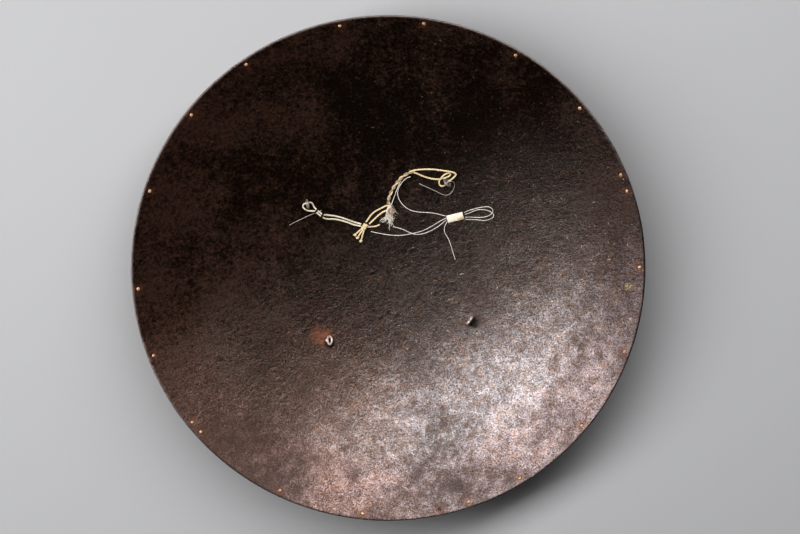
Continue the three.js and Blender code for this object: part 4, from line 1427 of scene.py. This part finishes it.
def frayed_paint():
    """Loose cotton fibres, from white to orange-brown."""

    def build(tree, shader):
        brown = tree.attribute("brown")
        place = tree.add("ShaderNodeTexCoord").outputs["Object"]
        patch = tree.noise(place, 1.6 * MM, detail=3.0)
        share = tree.strayed(brown, patch, 0.8, clamp=True)
        colour = tree.blend(share, (0.96, 0.92, 0.82, 1.0), (0.40, 0.17, 0.06, 1.0))
        feed(tree, shader, "Base Color", colour)
        shader.inputs["Roughness"].default_value = 0.8

    return material("frayed_cotton", build)


class BUCKLER_OT_tuft(bpy.types.Operator):
    """Fray the end of the plied cord into a tuft of loose fibres"""

    bl_idname = "buckler.tuft"
    bl_label = "Frayed tuft"

    def execute(self, context):
        draw = np.random.default_rng(11)
        parts, shares = [], []

        def strand(line, radius, brown):
            parts.append(tube(evenly(line, 0.4 * MM), radius, 5))
            shares.extend([brown] * len(parts[-1][0]))

        for route, reach, count, brown in LOCKS:
            middle = smooth_route(route, 0.4 * MM)
            for _ in range(count):
                start, end = draw.integers(0, 6), len(middle) - int(draw.integers(0, len(middle) // 3))
                offset = draw.normal(0, reach * 0.5 * MM, 3) * np.array([1, 1, 0.4])
                line = wiggled(middle[start:end] + offset, reach * MM, draw)
                radius = draw.uniform(0.11, 0.2) * MM
                strand(line, radius, min(1.0, max(0.0, brown + draw.normal(0, 0.12))))
        place, width, count = CURL
        for _ in range(count):
            middle = on_sheet(*(np.array(place) + draw.normal(0, 0.3, 2)), draw.uniform(1.4, 3.4))
            size = width * draw.uniform(0.7, 1.15) * MM
            axis = draw.normal(0, 0.22, 3) + (0, 0.01, 1)
            ring = wound_line(middle, axis, size, draw.uniform(0.6, 1.2), 0.3 * MM)
            ring = wiggled(ring, 0.25 * MM, draw)
            strand(ring, draw.uniform(0.12, 0.22) * MM, draw.uniform(0.4, 1.0))
        strand(smooth_route(LOOSE_PLY), 0.42 * MM, 0.05)
        strand(wiggled(smooth_route(LOOSE_PLY), 0.35 * MM, draw), 0.16 * MM, 0.2)
        points, faces = joined(parts)
        mesh = mesh_of("frayed_tuft", points, faces, frayed_paint())
        layer = mesh.attributes.new("brown", "FLOAT", "POINT")
        layer.data.foreach_set("value", np.array(shares, np.float32))
        carry(placed("frayed_tuft", mesh), "cotton_string", "tuft")
        return {"FINISHED"}


SLEEVE_PLACE = (65.4, 30.1)
SLEEVE_HEADING = 6.7
SLEEVE_LIFT = 1.55 * MM


def tape_paint(settings):
    """Yellowed masking tape with fine crepe ridges across it."""

    def build(tree, shader):
        place = tree.add("ShaderNodeTexCoord").outputs["Object"]
        mapping = tree.add("ShaderNodeMapping", {"Vector": place})
        mapping.inputs["Rotation"].default_value = (0, 0, -math.radians(SLEEVE_HEADING))
        mapping.inputs["Scale"].default_value = (1.0, 0.25, 0.25)
        crepe = tree.noise(mapping.outputs[0], 0.45 * MM, detail=2.0)
        stain = tree.noise(place, 5 * MM, detail=4.0)
        x, y, _ = tree.parts(place)
        soiled = tree.math("SUBTRACT", tree.product(x, 0.4), y)
        soiled = tree.product(tree.spread(soiled, -0.004, 0.001), tree.spread(stain, 0.3, 0.55))
        colour = tree.blend(soiled, rgba(settings.tape), (0.62, 0.38, 0.20, 1.0))
        feed(tree, shader, "Base Color", colour)
        shader.inputs["Roughness"].default_value = 0.7
        bump(tree, shader, tree.total(crepe, stain), 0.2 * MM, 0.5)

    return material("paper_tape", build)


class BUCKLER_OT_tape(bpy.types.Operator):
    """Fold the strip of tape round the fine lines"""

    bl_idname = "buckler.tape"
    bl_label = "Tape"

    def execute(self, context):
        paper = tape_paint(context.scene.buckler_hanger)
        length, half_width, half_height, thick = 15.0 * MM, 3.7 * MM, 0.72 * MM, 0.16 * MM
        winds, start = 1.55, 0.6
        rows, steps = 30, 56
        outer, inner = [], []
        for r in range(rows + 1):
            x = length * (r / rows - 0.5)
            for s in range(steps + 1):
                turn = 2 * math.pi * winds * s / steps + start
                grow = 1 + 0.16 * s / steps
                flat = abs(math.cos(turn)) ** 0.6 * math.copysign(1, math.cos(turn))
                y = half_width * flat * (0.88 + 0.1 * s / steps)
                place = Vector((x, y, half_height * math.sin(turn) * grow))
                crumple = noise.noise(Vector((x, place.y, place.z * 3)) / (2.6 * MM)) * 0.16 * MM
                edge = noise.noise(Vector((place.y / (1.4 * MM), 3.0 if r else 9.0, s * 0.1))) * 0.3 * MM
                place.x += edge if r in (0, rows) else 0.0
                out = Vector((0, math.cos(turn) * 0.5, math.sin(turn))).normalized()
                outer.append(place + out * crumple)
                inner.append(place + out * (crumple - thick))
        wide = steps + 1
        under = len(outer)

        def wall(a, b, flip):
            """One face of the tape's thickness, between two neighbours on its edge."""
            face = (a, under + a, under + b, b)
            return face[::-1] if flip else face

        faces = []
        for r in range(rows):
            for s in range(steps):
                a, b, c, d = r * wide + s, (r + 1) * wide + s, (r + 1) * wide + s + 1, r * wide + s + 1
                faces += [(a, b, c, d), (under + d, under + c, under + b, under + a)]
        for r in range(rows):
            for s, flip in ((0, False), (steps, True)):
                faces.append(wall(r * wide + s, (r + 1) * wide + s, flip))
        for s in range(steps):
            for r, flip in ((0, True), (rows, False)):
                faces.append(wall(r * wide + s, r * wide + s + 1, flip))
        x, y = (v * MM for v in SLEEVE_PLACE)
        matrix = sheet_frame(x, y, SLEEVE_HEADING) @ Matrix.Translation((0, 0, SLEEVE_LIFT))
        points = [matrix @ p for p in outer + inner]
        piece = placed("tape_wrap", mesh_of("tape_wrap", points, faces, paper))
        carry(piece, "paper_tape", "tape_sleeve")
        return {"FINISHED"}


# ---------------------------------------------------------------- stage

# Each lamp: its direction from the middle of the rim, as shares to the right, up the view and straight up
# out of the dish, and its length and width in metres
LAMPS = {
    "key": ((-0.258, 0.368, 0.893), (6.4, 0.63)),
    "fill": ((0.5, -1.4, 1.0), (3.0, 1.5)),
}
LAMP_DISTANCE = 1.7
LAMP_TURN = math.radians(28)

# How far the camera stands off the middle, and how far off the middle it aims
CAMERA_ASIDE = -0.5 * MM
AIM_RIGHT, AIM_UP = 10.2 * MM, 4.6 * MM

FLOOR_HALF = 6.0
FLOOR_HEIGHT = -0.2 * MM


def aimed(place, side, back):
    """A place as a frame, whose X is the side and whose Z points back, away from what is looked at."""
    turn = Matrix((side, back.cross(side), back)).transposed().to_4x4()
    return Matrix.Translation(place) @ turn


class BUCKLER_OT_stage(bpy.types.Operator):
    """Set the floor, the soft lights and the camera"""

    bl_idname = "buckler.stage"
    bl_label = "Stage"

    def execute(self, context):
        settings = context.scene.buckler_stage
        self.make_floor(settings)
        tilt, roll = settings.view_tilt, settings.view_roll
        right = Vector((math.cos(roll), -math.sin(roll), 0))
        up = Vector((math.sin(roll), math.cos(roll), 0))
        middle = Vector((0, 0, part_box("plate")[1][2]))
        away = up * math.sin(tilt) + Vector((0, 0, 1)) * math.cos(tilt)
        camera = bpy.data.objects.new("view", bpy.data.cameras.new("view"))
        context.scene.collection.objects.link(camera)
        context.scene.camera = camera
        place = middle + away * settings.distance + right * CAMERA_ASIDE
        lifted = (up - away * up.dot(away)).normalized()
        target = middle + right * AIM_RIGHT + lifted * AIM_UP
        back = (place - target).normalized()
        camera.matrix_world = aimed(place, lifted.cross(back).normalized(), back)
        camera.data.lens = settings.lens
        camera.data.sensor_width = 36
        camera.data.clip_end = 50

        along = right * math.cos(LAMP_TURN) + up * math.sin(LAMP_TURN)
        powers = {"key": settings.key_power, "fill": settings.fill_power}
        for name, ((aside, ahead, above), size) in LAMPS.items():
            lamp = bpy.data.lights.new(name, "AREA")
            lamp.shape = "ELLIPSE"
            lamp.size, lamp.size_y = size
            lamp.energy = powers[name]
            holder = bpy.data.objects.new(name, lamp)
            context.scene.collection.objects.link(holder)
            back = (right * aside + up * ahead + Vector((0, 0, above))).normalized()
            side = (along - back * along.dot(back)).normalized()
            holder.matrix_world = aimed(middle + back * LAMP_DISTANCE, side, back)
        world = bpy.data.worlds.new("studio")
        world.use_nodes = True
        sky = Tree(world.node_tree)
        _, _, height = sky.parts(sky.add("ShaderNodeTexCoord").outputs["Generated"])
        background = world.node_tree.nodes["Background"]
        background.inputs["Color"].default_value = (0.9, 0.93, 1.0, 1.0)
        world.node_tree.links.new(sky.spread(height, 0.08, 0.3, 0.3, 0.02), background.inputs["Strength"])
        context.scene.world = world
        context.scene.view_settings.view_transform = "Standard"
        context.scene.view_settings.gamma = 0.88
        return {"FINISHED"}

    def make_floor(self, settings):
        half, low = FLOOR_HALF, FLOOR_HEIGHT
        corners = [(-half, -half, low), (half, -half, low), (half, half, low), (-half, half, low)]

        def build(tree, shader):
            place = tree.add("ShaderNodeTexCoord").outputs["Object"]
            cloud = tree.noise(place, 0.8, detail=3.0)
            colour = tree.blend(cloud, rgba(settings.floor, 0.94), rgba(settings.floor, 1.05))
            feed(tree, shader, "Base Color", colour)
            shader.inputs["Roughness"].default_value = 0.75

        floor = placed("floor", mesh_of("floor", corners, [(0, 1, 2, 3)], material("floor", build)))


# ---------------------------------------------------------------- panel and registration

OPERATORS = (
    BUCKLER_OT_stage,
    BUCKLER_OT_knot,
    BUCKLER_OT_ties,
    BUCKLER_OT_tuft,
    BUCKLER_OT_tape,
    BUCKLER_OT_strings,
    BUCKLER_OT_lines,
    BUCKLER_OT_dish,
    BUCKLER_OT_eyes,
    BUCKLER_OT_bosses,
    BUCKLER_OT_rivets,
)


class BUCKLER_PT_panel(bpy.types.Panel):
    """Sizes and colours of the shield, and a button for each group of pieces"""

    bl_label = "Iron Buckler Shield"
    bl_idname = "BUCKLER_PT_panel"
    bl_space_type = "VIEW_3D"
    bl_region_type = "UI"
    bl_category = "Buckler"

    def draw(self, context):
        for operator in OPERATORS:
            self.layout.operator(operator.bl_idname)
        for name in SETTINGS:
            box = self.layout.box()
            group = getattr(context.scene, name)
            for prop in group.bl_rna.properties:
                if prop.identifier not in {"rna_type", "name"}:
                    box.prop(group, prop.identifier)


CLASSES = (*SETTINGS.values(), *OPERATORS, BUCKLER_PT_panel)


def register():
    for cls in CLASSES:
        bpy.utils.register_class(cls)
    for name, group in SETTINGS.items():
        setattr(bpy.types.Scene, name, PointerProperty(type=group))


def unregister():
    for name in SETTINGS:
        delattr(bpy.types.Scene, name)
    for cls in reversed(CLASSES):
        bpy.utils.unregister_class(cls)


def main():
    register()
    for operator in OPERATORS:
        group, name = operator.bl_idname.split(".")
        getattr(getattr(bpy.ops, group), name)()


if __name__ == "__main__":
    main()
